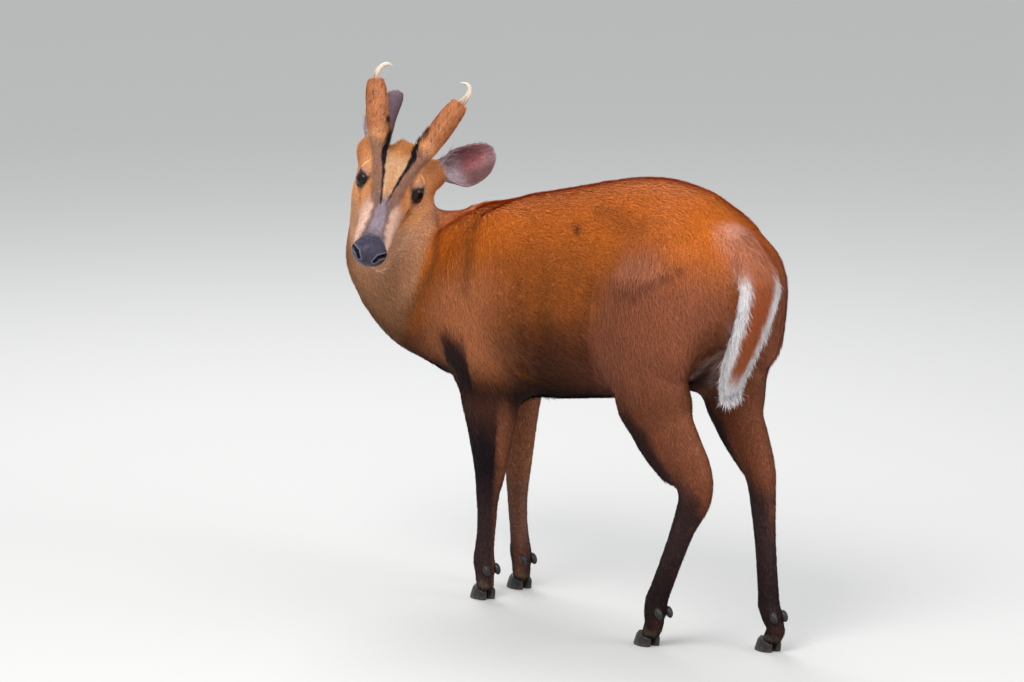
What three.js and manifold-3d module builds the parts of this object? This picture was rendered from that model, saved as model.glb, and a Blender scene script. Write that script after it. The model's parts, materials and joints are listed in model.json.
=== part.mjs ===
// A life-size muntjac buck that stands still and looks back over its left shoulder.
// Sizes are in millimetres. A place on the body is (forward, left, up), measured from the ground
// under the left fore foot; at() turns it into the model's own axes, which face -Y with +X to the left.
import * as THREE from "three";
import { mergeVertices } from "three/addons/utils/BufferGeometryUtils.js";
import Module from "manifold-3d";

const wasm = await Module();
wasm.setup();

const GAP = 0.3; // clearance between neighbouring pieces
const REACH = 900; // half the side of a block that cuts away one half of space
const EYE_RADIUS = 13;
const CELL = {
  torso: 28,
  neck: 20,
  shoulder: 20,
  forearm: 12.5,
  thigh: 20.5,
  shank: 12,
  head: 9.6,
  pedicle: 9.5,
}; // the grid that each piece of flesh is meshed on
const CANNON = { rows: 10, columns: 14, foreFrom: 0.4, hindFrom: 0.27 };
const BLEND = { neck: 40, foreleg: 26, hindleg: 30, head: 22 }; // how wide the hollow is where flesh meets
const SIDES = { left: 1, right: -1 };

const at = (forward, left, up) => new THREE.Vector3(left, -forward, up);
const radians = THREE.MathUtils.degToRad;
const mix = THREE.MathUtils.lerp;
const FORWARD = at(1, 0, 0);
const LEFT = at(0, 1, 0);
const UP = at(0, 0, 1);

// The middle of each foot's sole.
const FEET = {
  fore_left: { forward: 0, left: 46 },
  fore_right: { forward: 24, left: -32 },
  hind_left: { forward: -352, left: 52 },
  hind_right: { forward: -470, left: -49 },
};

// The head's own axes: to the nose along the palate, to the animal's left, and up from the palate.
const EYES_MIDDLE = at(107, 115, 537);
const HEAD_TURN = 142; // degrees from straight ahead to the left
const HEAD_DROOP = 26; // degrees that the palate points below level
const HEAD_LEAN = 16; // degrees that the crown leans to the animal's left
const SIGHT_SLOPE = 11; // degrees that the line from a viewer to the face falls
const HEAD = (() => {
  const turn = radians(HEAD_TURN);
  const level = at(Math.cos(turn), Math.sin(turn), 0);
  const left = UP.clone().cross(level).normalize();
  const droop = radians(HEAD_DROOP);
  const nose = level.clone().multiplyScalar(Math.cos(droop)).addScaledVector(UP, -Math.sin(droop));
  const slope = radians(SIGHT_SLOPE);
  const sight = level.clone().multiplyScalar(-Math.cos(slope)).addScaledVector(UP, -Math.sin(slope));
  const lean = new THREE.Quaternion().setFromAxisAngle(sight, radians(HEAD_LEAN));
  nose.applyQuaternion(lean);
  left.applyQuaternion(lean);
  return { nose, left, top: nose.clone().cross(left) };
})();
const headWay = (nose, left, top) =>
  new THREE.Vector3()
    .addScaledVector(HEAD.nose, nose)
    .addScaledVector(HEAD.left, left)
    .addScaledVector(HEAD.top, top);
const onHead = (nose, left, top) => headWay(nose, left, top).add(EYES_MIDDLE);

// A field gives the distance from a place to a surface, below zero inside it.
// A limb is a rounded body along a curve. Each station holds its place and its two half thicknesses:
// half its width along `side`, and half its depth across that. A share runs from 0 at the first station
// to 1 at the last.
function runOf(stations, side = LEFT) {
  const places = new THREE.CatmullRomCurve3(stations.map(([place]) => place));
  const halves = stations.map(([, width, depth]) => new THREE.Vector3(width, depth, 0));
  const sizes = new THREE.CatmullRomCurve3(halves);
  const sides = new THREE.CatmullRomCurve3(stations.map(([, , , own]) => own ?? side));
  return (share) => ({
    place: places.getPoint(share),
    size: sizes.getPoint(share),
    side: sides.getPoint(share).normalize(),
    way: places.getTangent(share),
  });
}
function limb(stations, side = LEFT, { egg = 0, steps = 4 } = {}) {
  const knotAt = runOf(stations, side);
  const count = (stations.length - 1) * steps;
  const knots = Array.from({ length: count + 1 }, (_, i) => knotAt(i / count));
  const widest = Math.max(...knots.map(({ size }) => Math.max(size.x, size.y)));
  const bounds = new THREE.Box3().setFromPoints(knots.map(({ place }) => place)).expandByScalar(widest + 70);
  const nearest = new THREE.Vector3();
  const span = new THREE.Vector3();
  const away = new THREE.Vector3();
  const best = new THREE.Vector3();
  const way = new THREE.Vector3();
  const across = new THREE.Vector3();
  return (point) => {
    if (!bounds.containsPoint(point)) return bounds.distanceToPoint(point) + 70;
    let least = Infinity;
    let index = 0;
    let share = 0;
    for (let i = 0; i < count; i += 1) {
      const start = knots[i].place;
      span.subVectors(knots[i + 1].place, start);
      away.subVectors(point, start);
      const t = Math.min(1, Math.max(0, away.dot(span) / span.lengthSq()));
      nearest.copy(start).addScaledVector(span, t);
      const distance = nearest.distanceToSquared(point);
      if (distance < least) {
        least = distance;
        index = i;
        share = t;
        best.copy(nearest);
      }
    }
    const a = knots[index];
    const b = knots[index + 1];
    way.subVectors(b.place, a.place).normalize();
    across.copy(a.side).lerp(b.side, share).addScaledVector(way, -way.dot(across)).normalize();
    away.subVectors(point, best);
    const along = away.dot(way);
    const wide = away.dot(across);
    away.addScaledVector(way, -along).addScaledVector(across, -wide);
    const depth = mix(a.size.y, b.size.y, share);
    const high = Math.sign(away.dot(UP)) * away.length();
    const width = mix(a.size.x, b.size.x, share) * (1 - egg * Math.max(-1, Math.min(1, high / depth)));
    const ratio = Math.hypot(wide / width, high / depth, along / Math.min(width, depth));
    return ratio < 1e-6 ? -Math.min(width, depth) : Math.sqrt(least) * (1 - 1 / ratio);
  };
}

// An egg-shaped body with its own axes.
function ball(middle, radii, [x, y, z]) {
  const away = new THREE.Vector3();
  return (point) => {
    away.subVectors(point, middle);
    const ratio = Math.hypot(away.dot(x) / radii[0], away.dot(y) / radii[1], away.dot(z) / radii[2]);
    return ratio < 1e-6 ? -Math.min(...radii) : away.length() * (1 - 1 / ratio);
  };
}
const headBall = (middle, radii) => ball(onHead(...middle), radii, [HEAD.nose, HEAD.left, HEAD.top]);

// Joins two distances with a rounded inside corner of about `round`.
function soften(a, b, round) {
  const h = Math.max(round - Math.abs(a - b), 0) / round;
  return Math.min(a, b) - (h * h * round) / 4;
}
const joined = (round, ...fields) => (point) =>
  fields.reduce((distance, field) => soften(distance, field(point), round), Infinity);

const mirrored = (sign) => (stations) =>
  stations.map(([forward, left, up, ...sizes]) => [at(forward, sign * left, up), ...sizes]);

// The trunk, from the chest to the buttocks: [forward, top, bottom, half width].
const TRUNK = [
  [92, 446, 280, 54],
  [40, 508, 256, 80],
  [-25, 526, 266, 93],
  [-95, 542, 275, 101],
  [-175, 560, 287, 106],
  [-255, 578, 300, 104],
  [-330, 590, 322, 92],
  [-395, 583, 350, 82],
  [-445, 547, 388, 60],
];
const trunk = limb(
  TRUNK.map(([forward, top, bottom, half]) => [at(forward, 0, (top + bottom) / 2), half, (top - bottom) / 2]),
  LEFT,
  { egg: 0.12 },
);

// The neck turns from straight ahead round to the left and up to the back of the skull.
const neck = limb([
  [at(-15, 0, 402), 58, 84, LEFT],
  [at(58, 8, 397), 80, 112, LEFT],
  [at(112, 38, 413), 76, 110, at(-0.45, 0.89, 0)],
  [at(144, 66, 444), 68, 82, at(-0.8, 0.6, 0)],
  [at(150, 78, 488), 58, 60, at(-0.75, -0.1, 0).addScaledVector(HEAD.left, 0.4)],
  [onHead(-52, 0, -26), 42, 40, HEAD.left],
]);

// One foreleg: the blade and upper arm, then the leg down to its hoof. The right one is further forward.
const ELBOW_PLACE = { left: [-30, 57, 266], right: [48, -46, 262] };
function foreleg(side, sign) {
  const [elbow, aside, height] = ELBOW_PLACE[side];
  const ahead = 0.45 * (elbow - ELBOW_PLACE.left[0]);
  const shoulder = limb([
    [at(-54 + 0.5 * ahead, sign * 50, 498), 20, 36],
    [at(-24 + 0.8 * ahead, sign * 64, 445), 30, 56],
    [at(8 + ahead, sign * 66, 388), 34, 56],
    [at(mix(-18, elbow, sign > 0 ? 0 : 0.7), sign * 61, 325), 31, 52],
  ]);
  const foot = FEET[`fore_${side}`];
  const fetlock = at(foot.forward - 2, foot.left, 52);
  const station = (share, up, width, depth, back = 0) => {
    const forward = mix(elbow, foot.forward - 2, share) - back;
    return [at(forward, mix(aside, foot.left, Math.min(1, 1.3 * share)), up), width, depth];
  };
  const slim = sign > 0 ? 1 : 0.85;
  const leg = [
    [at(elbow, aside + sign * 3, 312), 30, 58 * slim],
    station(0, height, 27, 53 * slim),
    station(0.18, 221, 21, 40 * slim, 2),
    station(0.42, 172, 16.5, 27 * slim, 3),
    station(0.58, 138, 14.5, 17.5),
    station(0.68, 116, 13, 15.5),
    station(0.82, 90, 12, 14.5),
    station(0.95, 66, 12.5, 14.5),
    [fetlock, 14.5, 16.5],
    [at(foot.forward - 4, foot.left, 34), 13, 14],
    [at(foot.forward - 4, foot.left, 12), 13.3, 12.5],
  ];
  return { leg, field: joined(22, shoulder, limb(leg)) };
}

// One hind leg: the rump and thigh, then the leg down to its hoof.
const HOCK = { left: [-458, 57, 216], right: [-455, -49, 216] };
const FETLOCK = { left: [-367, 52, 52], right: [-473, -48, 52] };
function hindleg(side, sign) {
  const slim = sign > 0 ? 1 : 0.76;
  const inwards = sign > 0 ? 0 : 5;
  const thigh = limb(
    mirrored(sign)([
      [-385, 46, 512, 32, 50],
      [-394, 62, 465, 42, 78],
      [-380, 68, 408, 40, 82],
      [-372, 68, 355, 33, 70],
      [-384, 64, 312, 28, 58 * slim],
    ]),
  );
  const foot = FEET[`hind_${side}`];
  const hock = at(...HOCK[side]);
  const fetlock = at(...FETLOCK[side]);
  const cannon = (share, width, depth) => [hock.clone().lerp(fetlock, share), width, depth];
  const leg = [
    [at(-380, sign * (66 - inwards), 322), 28, 62 * slim],
    [at(-396, sign * (63 - inwards), 288), 24, 56 * slim],
    [at(-424, sign * (60 - inwards), 256), 20, 48 * slim],
    [at(-450, HOCK[side][1], 231), 17, 36 * slim],
    cannon(0.06, 15.5, 29 * slim),
    cannon(0.22, 13.2, 21),
    cannon(0.42, 12.5, 17),
    cannon(0.7, 12.5, 16),
    cannon(0.9, 13, 16),
    cannon(1, 14.5, 17),
    [at(foot.forward - 16, foot.left, 34), 13, 14],
    [at(foot.forward - 5, foot.left, 12), 13.3, 12.5],
  ];
  return { leg, field: joined(20, thigh, limb(leg)) };
}

// The head: skull, muzzle, jaw, brow ridges and the stumps that carry the ears.
const skull = limb(
  [
    [onHead(-72, 0, -12), 30, 27],
    [onHead(-50, 0, -5), 41, 36],
    [onHead(-20, 0, -4), 42, 39],
    [onHead(10, 0, -9), 36, 36],
    [onHead(40, 0, -18), 29, 29],
    [onHead(70, 0, -27), 25, 23],
    [onHead(94, 0, -32), 25, 19],
    [onHead(101, 0, -34), 22, 17],
  ],
  HEAD.left,
);
const jaw = limb(
  [
    [onHead(-34, 0, -42), 32, 22],
    [onHead(0, 0, -49), 28, 16],
    [onHead(40, 0, -53), 19, 11],
    [onHead(78, 0, -56), 15, 9],
    [onHead(92, 0, -57), 12, 8],
  ],
  HEAD.left,
);
const ridgeStations = (sign) => [
  [onHead(44, sign * 9, 6), 6, 6],
  [onHead(15, sign * 14, 20), 8, 8],
  [onHead(-10, sign * 23, 33), 10, 10],
  [onHead(-28, sign * 32, 50), 14, 14],
  [onHead(-52, sign * 43, 70), 15.5, 15.5],
  [onHead(-73, sign * 51.5, 85), 14.5, 14.5],
  [onHead(-83, sign * 56, 92), 12.5, 12.5],
  [onHead(-92, sign * 60, 98), 8, 8],
];
const EAR_ROOT = { left: [-52, 46, -3], right: [-52, -38, 6] };
const head = joined(
  10,
  joined(12, skull, jaw),
  ...Object.values(SIDES).flatMap((sign) => [
    headBall([-24, sign * 32, -28], [32, 14, 30]),
    headBall([-2, sign * 30, 2], [24, 14, 19]),
    limb(ridgeStations(sign), HEAD.left),
  ]),
  ...Object.values(EAR_ROOT).map((root) => headBall(root, [20, 18, 20])),
);

const fore = { left: foreleg("left", 1), right: foreleg("right", -1) };
const hind = { left: hindleg("left", 1), right: hindleg("right", -1) };
const body = joined(BLEND.neck, trunk, neck);
const flesh = (point) => {
  let distance = body(point);
  for (const side of Object.keys(SIDES)) {
    distance = soften(distance, fore[side].field(point), BLEND.foreleg);
    distance = soften(distance, hind[side].field(point), BLEND.hindleg);
  }
  return soften(distance, head(point), BLEND.head);
};

// The twelve edges of a cell: edge 4 * axis + side runs along an axis, and the two bits of `side` say
// where it lies on the next two axes. Edges that one sheet of the surface crosses share a patch.
function patchesOf(inside) {
  const patch = Array.from({ length: 12 }, (_, edge) => edge);
  const link = (a, b) => {
    const [from, to] = [patch[a], patch[b]];
    patch.forEach((value, edge) => {
      if (value === from) patch[edge] = to;
    });
  };
  for (let axis = 0; axis < 3; axis += 1)
    for (let far = 0; far < 2; far += 1) {
      const [second, third] = [(axis + 1) % 3, (axis + 2) % 3];
      const corner = (a, b) => (far << axis) | (a << second) | (b << third);
      const edgeAlongSecond = (b) => 4 * second + (b | (far << 1));
      const edgeAlongThird = (a) => 4 * third + (far | (a << 1));
      const crossed = [
        ...[0, 1].filter((b) => inside(corner(0, b)) !== inside(corner(1, b))).map(edgeAlongSecond),
        ...[0, 1].filter((a) => inside(corner(a, 0)) !== inside(corner(a, 1))).map(edgeAlongThird),
      ];
      if (crossed.length === 2) link(...crossed);
      if (crossed.length === 4)
        for (const [a, b] of [[0, 0], [1, 0], [0, 1], [1, 1]])
          if (inside(corner(a, b))) link(edgeAlongSecond(b), edgeAlongThird(a));
    }
  return patch;
}

// Turns a field into a closed mesh inside a box. Each cell that the surface crosses gets one corner of
// the mesh for each sheet in it, and each crossed edge of the grid gets one four-sided face.
function skinOf(field, box, cell) {
  const size = box.getSize(new THREE.Vector3());
  const counts = size.toArray().map((length) => Math.ceil(length / cell) + 1);
  const [nx, ny, nz] = counts;
  const place = (i, j, k) => new THREE.Vector3(i, j, k).multiplyScalar(cell).add(box.min);
  const index = (i, j, k) => (k * ny + j) * nx + i;
  const values = new Float32Array(nx * ny * nz);
  const atEdge = (...spot) => spot.some((value, n) => value === 0 || value === counts[n] - 1);
  for (let k = 0; k < nz; k += 1)
    for (let j = 0; j < ny; j += 1)
      for (let i = 0; i < nx; i += 1) values[index(i, j, k)] = atEdge(i, j, k) ? cell : field(place(i, j, k));
  const crosses = (a, b) => values[index(...a)] < 0 !== values[index(...b)] < 0;
  const next = (spot, axis) => spot.map((value, n) => value + (n === axis ? 1 : 0));

  const corners = [];
  const cells = new Map();
  const openCell = (spot) => {
    const inside = (n) => values[index(spot[0] + (n & 1), spot[1] + ((n >> 1) & 1), spot[2] + (n >> 2))] < 0;
    const patch = patchesOf(inside);
    const sums = new Map();
    for (let edge = 0; edge < 12; edge += 1) {
      const axis = edge >> 2;
      const start = [...spot];
      start[(axis + 1) % 3] += edge & 1;
      start[(axis + 2) % 3] += (edge >> 1) & 1;
      const end = next(start, axis);
      if (!crosses(start, end)) continue;
      const [from, to] = [values[index(...start)], values[index(...end)]];
      const found = sums.get(patch[edge]) ?? { sum: new THREE.Vector3(), count: 0 };
      found.sum.add(place(...start).lerp(place(...end), from / (from - to)));
      found.count += 1;
      sums.set(patch[edge], found);
    }
    const ids = new Map();
    for (const [name, { sum, count }] of sums) {
      corners.push(settle(field, sum.divideScalar(count), cell));
      ids.set(name, corners.length - 1);
    }
    return patch.map((name) => ids.get(name));
  };
  const cornerOf = (spot, edge) => {
    const key = index(...spot);
    if (!cells.has(key)) cells.set(key, openCell(spot));
    return cells.get(key)[edge];
  };

  const faces = [];
  for (let k = 0; k < nz - 1; k += 1)
    for (let j = 0; j < ny - 1; j += 1)
      for (let i = 0; i < nx - 1; i += 1)
        for (let axis = 0; axis < 3; axis += 1) {
          const start = [i, j, k];
          const end = next(start, axis);
          if (!crosses(start, end)) continue;
          const around = [[1, 1], [0, 1], [0, 0], [1, 0]].map(([first, second]) => {
            const spot = [...start];
            spot[(axis + 1) % 3] -= first;
            spot[(axis + 2) % 3] -= second;
            return cornerOf(spot, 4 * axis + (first | (second << 1)));
          });
          if (values[index(...end)] < 0) around.reverse();
          const [a, b, c, d] = around;
          const shortFirst = corners[a].distanceTo(corners[c]) < corners[b].distanceTo(corners[d]);
          faces.push(...(shortFirst ? [a, b, c, a, c, d] : [a, b, d, b, c, d]));
        }
  return { corners, faces };
}

// Moves a corner onto the surface, but not out of its own cell.
function settle(field, corner, cell) {
  const start = corner.clone();
  const probe = 0.05 * cell;
  for (let round = 0; round < 3; round += 1) {
    const here = field(corner);
    const slope = new THREE.Vector3(
      field(corner.clone().setX(corner.x + probe)) - here,
      field(corner.clone().setY(corner.y + probe)) - here,
      field(corner.clone().setZ(corner.z + probe)) - here,
    ).divideScalar(probe);
    if (slope.lengthSq() < 0.01) break;
    corner.addScaledVector(slope, -here / slope.lengthSq());
  }
  const limit = 0.45 * cell;
  return corner.sub(start).clampLength(0, limit).add(start);
}

// Solids of manifold-3d, and the way back to a three.js geometry.
function solidOf(corners, faces) {
  const mesh = new wasm.Mesh({
    numProp: 3,
    vertProperties: new Float32Array(corners.flatMap((corner) => corner.toArray())),
    triVerts: new Uint32Array(faces),
  });
  return new wasm.Manifold(mesh);
}
function solid(geometry) {
  const bare = new THREE.BufferGeometry().setAttribute("position", geometry.getAttribute("position").clone());
  if (geometry.index) bare.setIndex(geometry.index);
  const merged = mergeVertices(bare, 1e-4);
  const mesh = new wasm.Mesh({
    numProp: 3,
    vertProperties: Float32Array.from(merged.getAttribute("position").array),
    triVerts: Uint32Array.from(merged.index.array),
  });
  return new wasm.Manifold(mesh);
}
const largest = (shape) => shape.decompose().reduce((a, b) => (b.volume() > a.volume() ? b : a));

function geometryOf(shape) {
  const { vertProperties, triVerts, numProp } = shape.getMesh();
  const geometry = new THREE.BufferGeometry();
  const positions = new Float32Array((vertProperties.length / numProp) * 3);
  for (let i = 0; i < vertProperties.length / numProp; i += 1)
    for (let n = 0; n < 3; n += 1) positions[3 * i + n] = vertProperties[numProp * i + n];
  geometry.setAttribute("position", new THREE.BufferAttribute(positions, 3));
  geometry.setIndex([...triVerts]);
  geometry.computeVertexNormals();
  return geometry;
}

// A cut is a flat plane; what lies ahead of it, along `facing`, is on its far side.
const cut = (place, facing) => ({ place, facing: facing.clone().normalize() });
const turned = ({ place, facing }) => ({ place, facing: facing.clone().negate() });
function blockBeyond({ place, facing }) {
  const geometry = new THREE.BoxGeometry(2 * REACH, 2 * REACH, 2 * REACH);
  geometry.translate(0, 0, REACH - GAP / 2);
  geometry.applyQuaternion(new THREE.Quaternion().setFromUnitVectors(UP, facing));
  geometry.translate(...place.toArray());
  return solid(geometry);
}

// A region of the body's side: an outline of (forward, up) points, pushed from `inner` outwards.
function region(outline, sign, inner, grow) {
  const count = outline.length;
  const points = outline.map((point, i) => {
    const normal = (from, to) => new THREE.Vector2(to[1] - from[1], from[0] - to[0]).normalize();
    const before = normal(outline[(i + count - 1) % count], point);
    const after = normal(point, outline[(i + 1) % count]);
    const out = before.clone().add(after).divideScalar(1 + before.dot(after));
    return new THREE.Vector2(...point).addScaledVector(out, grow);
  });
  const depth = 300;
  const geometry = new THREE.ExtrudeGeometry(new THREE.Shape(points), { depth, bevelEnabled: false });
  const start = sign > 0 ? inner - grow + depth : -inner + grow;
  geometry.applyMatrix4(new THREE.Matrix4().makeBasis(FORWARD, UP, LEFT.clone().negate()));
  geometry.translate(...at(0, start, 0).toArray());
  return solid(geometry);
}

// The outlines, counterclockwise with forward to the right, of what moves with each upper leg.
const FORE_OUTLINE = [
  [-100, -40],
  [150, -40],
  [96, 250],
  [84, 400],
  [20, 460],
  [-30, 512],
  [-82, 502],
  [-96, 420],
  [-100, 300],
];
const HIND_OUTLINE = [
  [-620, -40],
  [-240, -40],
  [-262, 330],
  [-300, 420],
  [-345, 500],
  [-405, 540],
  [-620, 570],
];
const FORE_INNER = 14;
const HIND_INNER = 22;

// Flesh between cuts, in one node. Each cut faces away from what is kept.
function fleshPiece(box, cell, cuts, { field = flesh, keep, drop = [] } = {}) {
  const margin = 1.5 * cell;
  const clipped = (point) => {
    let distance = field(point);
    for (const { place, facing } of cuts)
      distance = Math.max(distance, facing.dot(point) - facing.dot(place) - margin);
    return distance;
  };
  const { corners, faces } = skinOf(clipped, box, cell);
  let shape = solidOf(corners, faces);
  for (const flat of cuts) shape = shape.subtract(blockBeyond(flat));
  if (keep) shape = shape.intersect(keep);
  for (const tool of drop) shape = shape.subtract(tool);
  return largest(shape);
}

// Rings of points, each joined to the next, with flat ends.
function loft(rings) {
  const count = rings[0].length;
  const corners = rings.flat();
  const faces = [];
  for (let r = 0; r + 1 < rings.length; r += 1)
    for (let i = 0; i < count; i += 1) {
      const a = r * count + i;
      const b = r * count + ((i + 1) % count);
      faces.push(a, b, b + count, a, b + count, a + count);
    }
  const sum = (ring) => ring.reduce((total, point) => total.add(point), new THREE.Vector3());
  const middle = (ring) => sum(ring).divideScalar(count);
  const last = (rings.length - 1) * count;
  corners.push(middle(rings[0]), middle(rings[rings.length - 1]));
  for (let i = 0; i < count; i += 1) {
    const next = (i + 1) % count;
    faces.push(corners.length - 2, next, i, corners.length - 1, last + i, last + next);
  }
  const shape = solidOf(corners, faces);
  return shape.volume() > 0 ? shape : solidOf(corners, faces.reverse());
}

// A stretch of a limb as rings, from the share `from` to its end, where it meets no other flesh.
function limbRings(stations, { side = LEFT, from = 0, rows, columns }) {
  const knotAt = runOf(stations, side);
  const rings = Array.from({ length: rows + 1 }, (_, row) => {
    const { place, size, side: own, way } = knotAt(mix(from, 1, row / rows));
    const across = own.addScaledVector(way, -way.dot(own)).normalize();
    const over = way.clone().cross(across);
    return Array.from({ length: columns }, (__, column) => {
      const turn = (2 * Math.PI * column) / columns;
      return place.clone()
        .addScaledVector(across, size.x * Math.cos(turn))
        .addScaledVector(over, size.y * Math.sin(turn));
    });
  });
  return loft(rings);
}

const boxAround = (low, high) => new THREE.Box3().setFromPoints([at(...low), at(...high)]);
const headBox = (low, high) => {
  const corners = [0, 1, 2, 3, 4, 5, 6, 7].map((n) =>
    onHead(n & 1 ? high[0] : low[0], n & 2 ? high[1] : low[1], n & 4 ? high[2] : low[2]));
  return new THREE.Box3().setFromPoints(corners);
};

// The cuts that part the body.
const NECK_BASE = cut(at(82, 26, 412), at(0.77, 0.5, 0.38));
const NAPE = cut(onHead(-58, 0, -25), headWay(0.876, 0, 0.48));
const THROAT = cut(onHead(-20, 0, -78), headWay(-0.35, 0, -0.94));
const CHEEK = cut(onHead(0, 60, -20), headWay(0, 0.9, -0.43));
const ELBOW = cut(at(-10, 0, 262), at(0, 0, -1));
const STIFLE = cut(at(-380, 0, 318), at(-0.3, 0, -0.95));
const KNEE = cut(at(0, 0, 120), at(0, 0, -1));
const HOCK_CUT = {
  left: cut(at(-450, 0, 190), at(0.4, 0, -0.92)),
  right: cut(at(-460, 0, 190), at(-0.1, 0, -1)),
};
const HOOF = { length: 34, width: 12.6, cleft: 1.6, top: 15.5, slope: 0.42, setback: 4 };
const hoofTop = (foot) => cut(at(foot.forward - HOOF.setback, 0, HOOF.top), at(HOOF.slope, 0, -1));
const pedicleRoot = (sign) => cut(onHead(-34, sign * 35, 54), headWay(-0.62, sign * 0.3, 0.72));
const CORONET = [-85, 57, 93.5]; // nose, outwards, top: on the head
const coronet = (sign) =>
  cut(onHead(CORONET[0], sign * CORONET[1], CORONET[2]), headWay(-0.72, sign * 0.36, 0.6));

const group = new THREE.Group();
const FUR = { rust: 0x8a4a26, neck: 0x7d6650, face: 0x9b6238, dark: 0x3a2a24 };
const EYE = { color: 0x120b08, roughness: 0.08 };
const HORN = { color: 0xcbb893, roughness: 0.55 };
const KERATIN = { color: 0x1d1815, roughness: 0.6 };
function add(name, shape, { color, roughness = 0.9 }) {
  const material = new THREE.MeshStandardMaterial({ color, roughness, metalness: 0 });
  const mesh = new THREE.Mesh(geometryOf(shape), material);
  mesh.name = name;
  group.add(mesh);
}
const coat = (color) => ({ color });
const sphere = (place, radius, across, down) =>
  solid(new THREE.SphereGeometry(radius, across, down).translate(...place.toArray()));

const nearBy = (flat, place, radius) => blockBeyond(flat).intersect(sphere(place, radius, 12, 8));

// Each ear grows from a stump on the head: its axis, the way that it opens, and the middle of its root.
const EAR = { length: 72, halfWidth: 27, rootHalfWidth: 15, thickness: 3, stub: 15, skew: 6, room: 34 };
const earFrame = Object.fromEntries(
  Object.keys(SIDES).map((side) => {
    const along = { left: headWay(-0.38, 0.8, 0.46), right: headWay(-0.66, 0.17, 0.7) }[side].normalize();
    const open = { left: headWay(0.8, 0.1, 0.6), right: headWay(-0.42, -0.86, -0.3) }[side];
    open.addScaledVector(along, -open.dot(along)).normalize();
    const root = onHead(...EAR_ROOT[side]).addScaledVector(along, EAR.stub);
    return [side, { along, open, wide: along.clone().cross(open), root }];
  }),
);
const earRoom = Object.values(earFrame).map((ear) => nearBy(cut(ear.root, ear.along), ear.root, EAR.room));

// Torso and neck.
const regions = Object.values(SIDES).flatMap((sign) => [
  region(FORE_OUTLINE, sign, FORE_INNER, GAP / 2),
  region(HIND_OUTLINE, sign, HIND_INNER, GAP / 2),
]);
const torsoBox = boxAround([190, -170, 200], [-560, 170, 640]);
const torso = fleshPiece(torsoBox, CELL.torso, [NECK_BASE], { drop: regions });
add("torso", torso, coat(FUR.rust));
const headRegion = [NAPE, turned(THROAT), turned(CHEEK)].map(blockBeyond).reduce((a, b) => a.intersect(b));
const neckBox = boxAround([280, -150, 240], [-60, 220, 640]);
const neckPiece = fleshPiece(neckBox, CELL.neck, [turned(NECK_BASE)], { drop: [headRegion, ...earRoom] });
add("neck", neckPiece, coat(FUR.neck));

// Legs. Two small dewclaws stand behind each fetlock.
const DEWCLAW = { aside: 8, back: 14, down: 4, radii: [5, 7, 8] };
const thighs = [];
for (const [side, sign] of Object.entries(SIDES)) {
  const foreFoot = FEET[`fore_${side}`];
  const hindFoot = FEET[`hind_${side}`];
  const foreKeep = region(FORE_OUTLINE, sign, FORE_INNER, -GAP / 2);
  const hindKeep = region(HIND_OUTLINE, sign, HIND_INNER, -GAP / 2);
  const across = [sign > 0 ? 5 : -170, sign > 0 ? 170 : -5];
  const slab = (front, rear, low, high) => boxAround([front, across[0], low], [rear, across[1], high]);
  const fetlock = { fore: at(foreFoot.forward - 1, foreFoot.left, 46), hind: at(...FETLOCK[side]) };
  const dewclaw = (place, aside) =>
    sphere(new THREE.Vector3(), 1, 6, 4)
      .scale(DEWCLAW.radii)
      .translate(place.clone().add(at(-DEWCLAW.back, aside, -DEWCLAW.down)).toArray());
  const withDewclaws = (cannon, place) =>
    [-DEWCLAW.aside, DEWCLAW.aside].reduce((shape, aside) => shape.add(dewclaw(place, aside)), cannon);
  const hock = HOCK_CUT[side];
  const foreLimb = (box, cell, cuts) => fleshPiece(box, cell, cuts, { keep: foreKeep });
  const hindLimb = (box, cell, cuts) => fleshPiece(box, cell, cuts, { keep: hindKeep });
  const shoulder = foreLimb(slab(120, -130, 230, 560), CELL.shoulder, [ELBOW, NECK_BASE]);
  const forearm = foreLimb(slab(110, -110, 100, 290), CELL.forearm, [turned(ELBOW), KNEE]);
  const cannon = (leg, from, cuts) =>
    cuts.reduce((shape, flat) => shape.subtract(blockBeyond(flat)), limbRings(leg, { ...CANNON, from }));
  const foreCannon = cannon(fore[side].leg, CANNON.foreFrom, [turned(KNEE), hoofTop(foreFoot)]);
  const thigh = hindLimb(slab(-220, -560, 260, 620), CELL.thigh, [STIFLE]);
  const shank = hindLimb(slab(-250, -540, 150, 380), CELL.shank, [turned(STIFLE), hock]);
  const hindCannon = cannon(hind[side].leg, CANNON.hindFrom, [turned(hock), hoofTop(hindFoot)]);
  thighs.push(thigh);
  add(`shoulder_${side}`, shoulder, coat(FUR.rust));
  add(`forearm_${side}`, forearm, coat(FUR.dark));
  add(`cannon_fore_${side}`, withDewclaws(foreCannon, fetlock.fore), coat(FUR.dark));
  add(`thigh_${side}`, thigh, coat(FUR.rust));
  add(`shank_${side}`, shank, coat(FUR.dark));
  add(`cannon_hind_${side}`, withDewclaws(hindCannon, fetlock.hind), coat(FUR.dark));
}

// Tail: it hangs from the rump, a little to the left, with long hair down both edges and at its tip.
const TAIL = [
  [at(-462, 2, 530), 18, 12],
  [at(-493, 2, 508), 25, 12],
  [at(-512, 3, 481), 31, 11],
  [at(-517, 12, 450), 30, 10],
  [at(-512, 20, 417), 27, 10],
  [at(-498, 26, 380), 23, 9],
  [at(-484, 25, 345), 13, 6],
];
const FRINGE = { first: 0.34, last: 0.93, pairs: 8, tips: 6, splay: 0.42, tipSplay: 0.3, sunk: 0.3 };
const LOCK = { length: 34, width: 7, thickness: 2.4 };
const LOCK_TAPER = [[0, 0.8], [0.35, 1], [0.72, 0.7], [1, 0.08]]; // share of the length, share of the width
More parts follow.
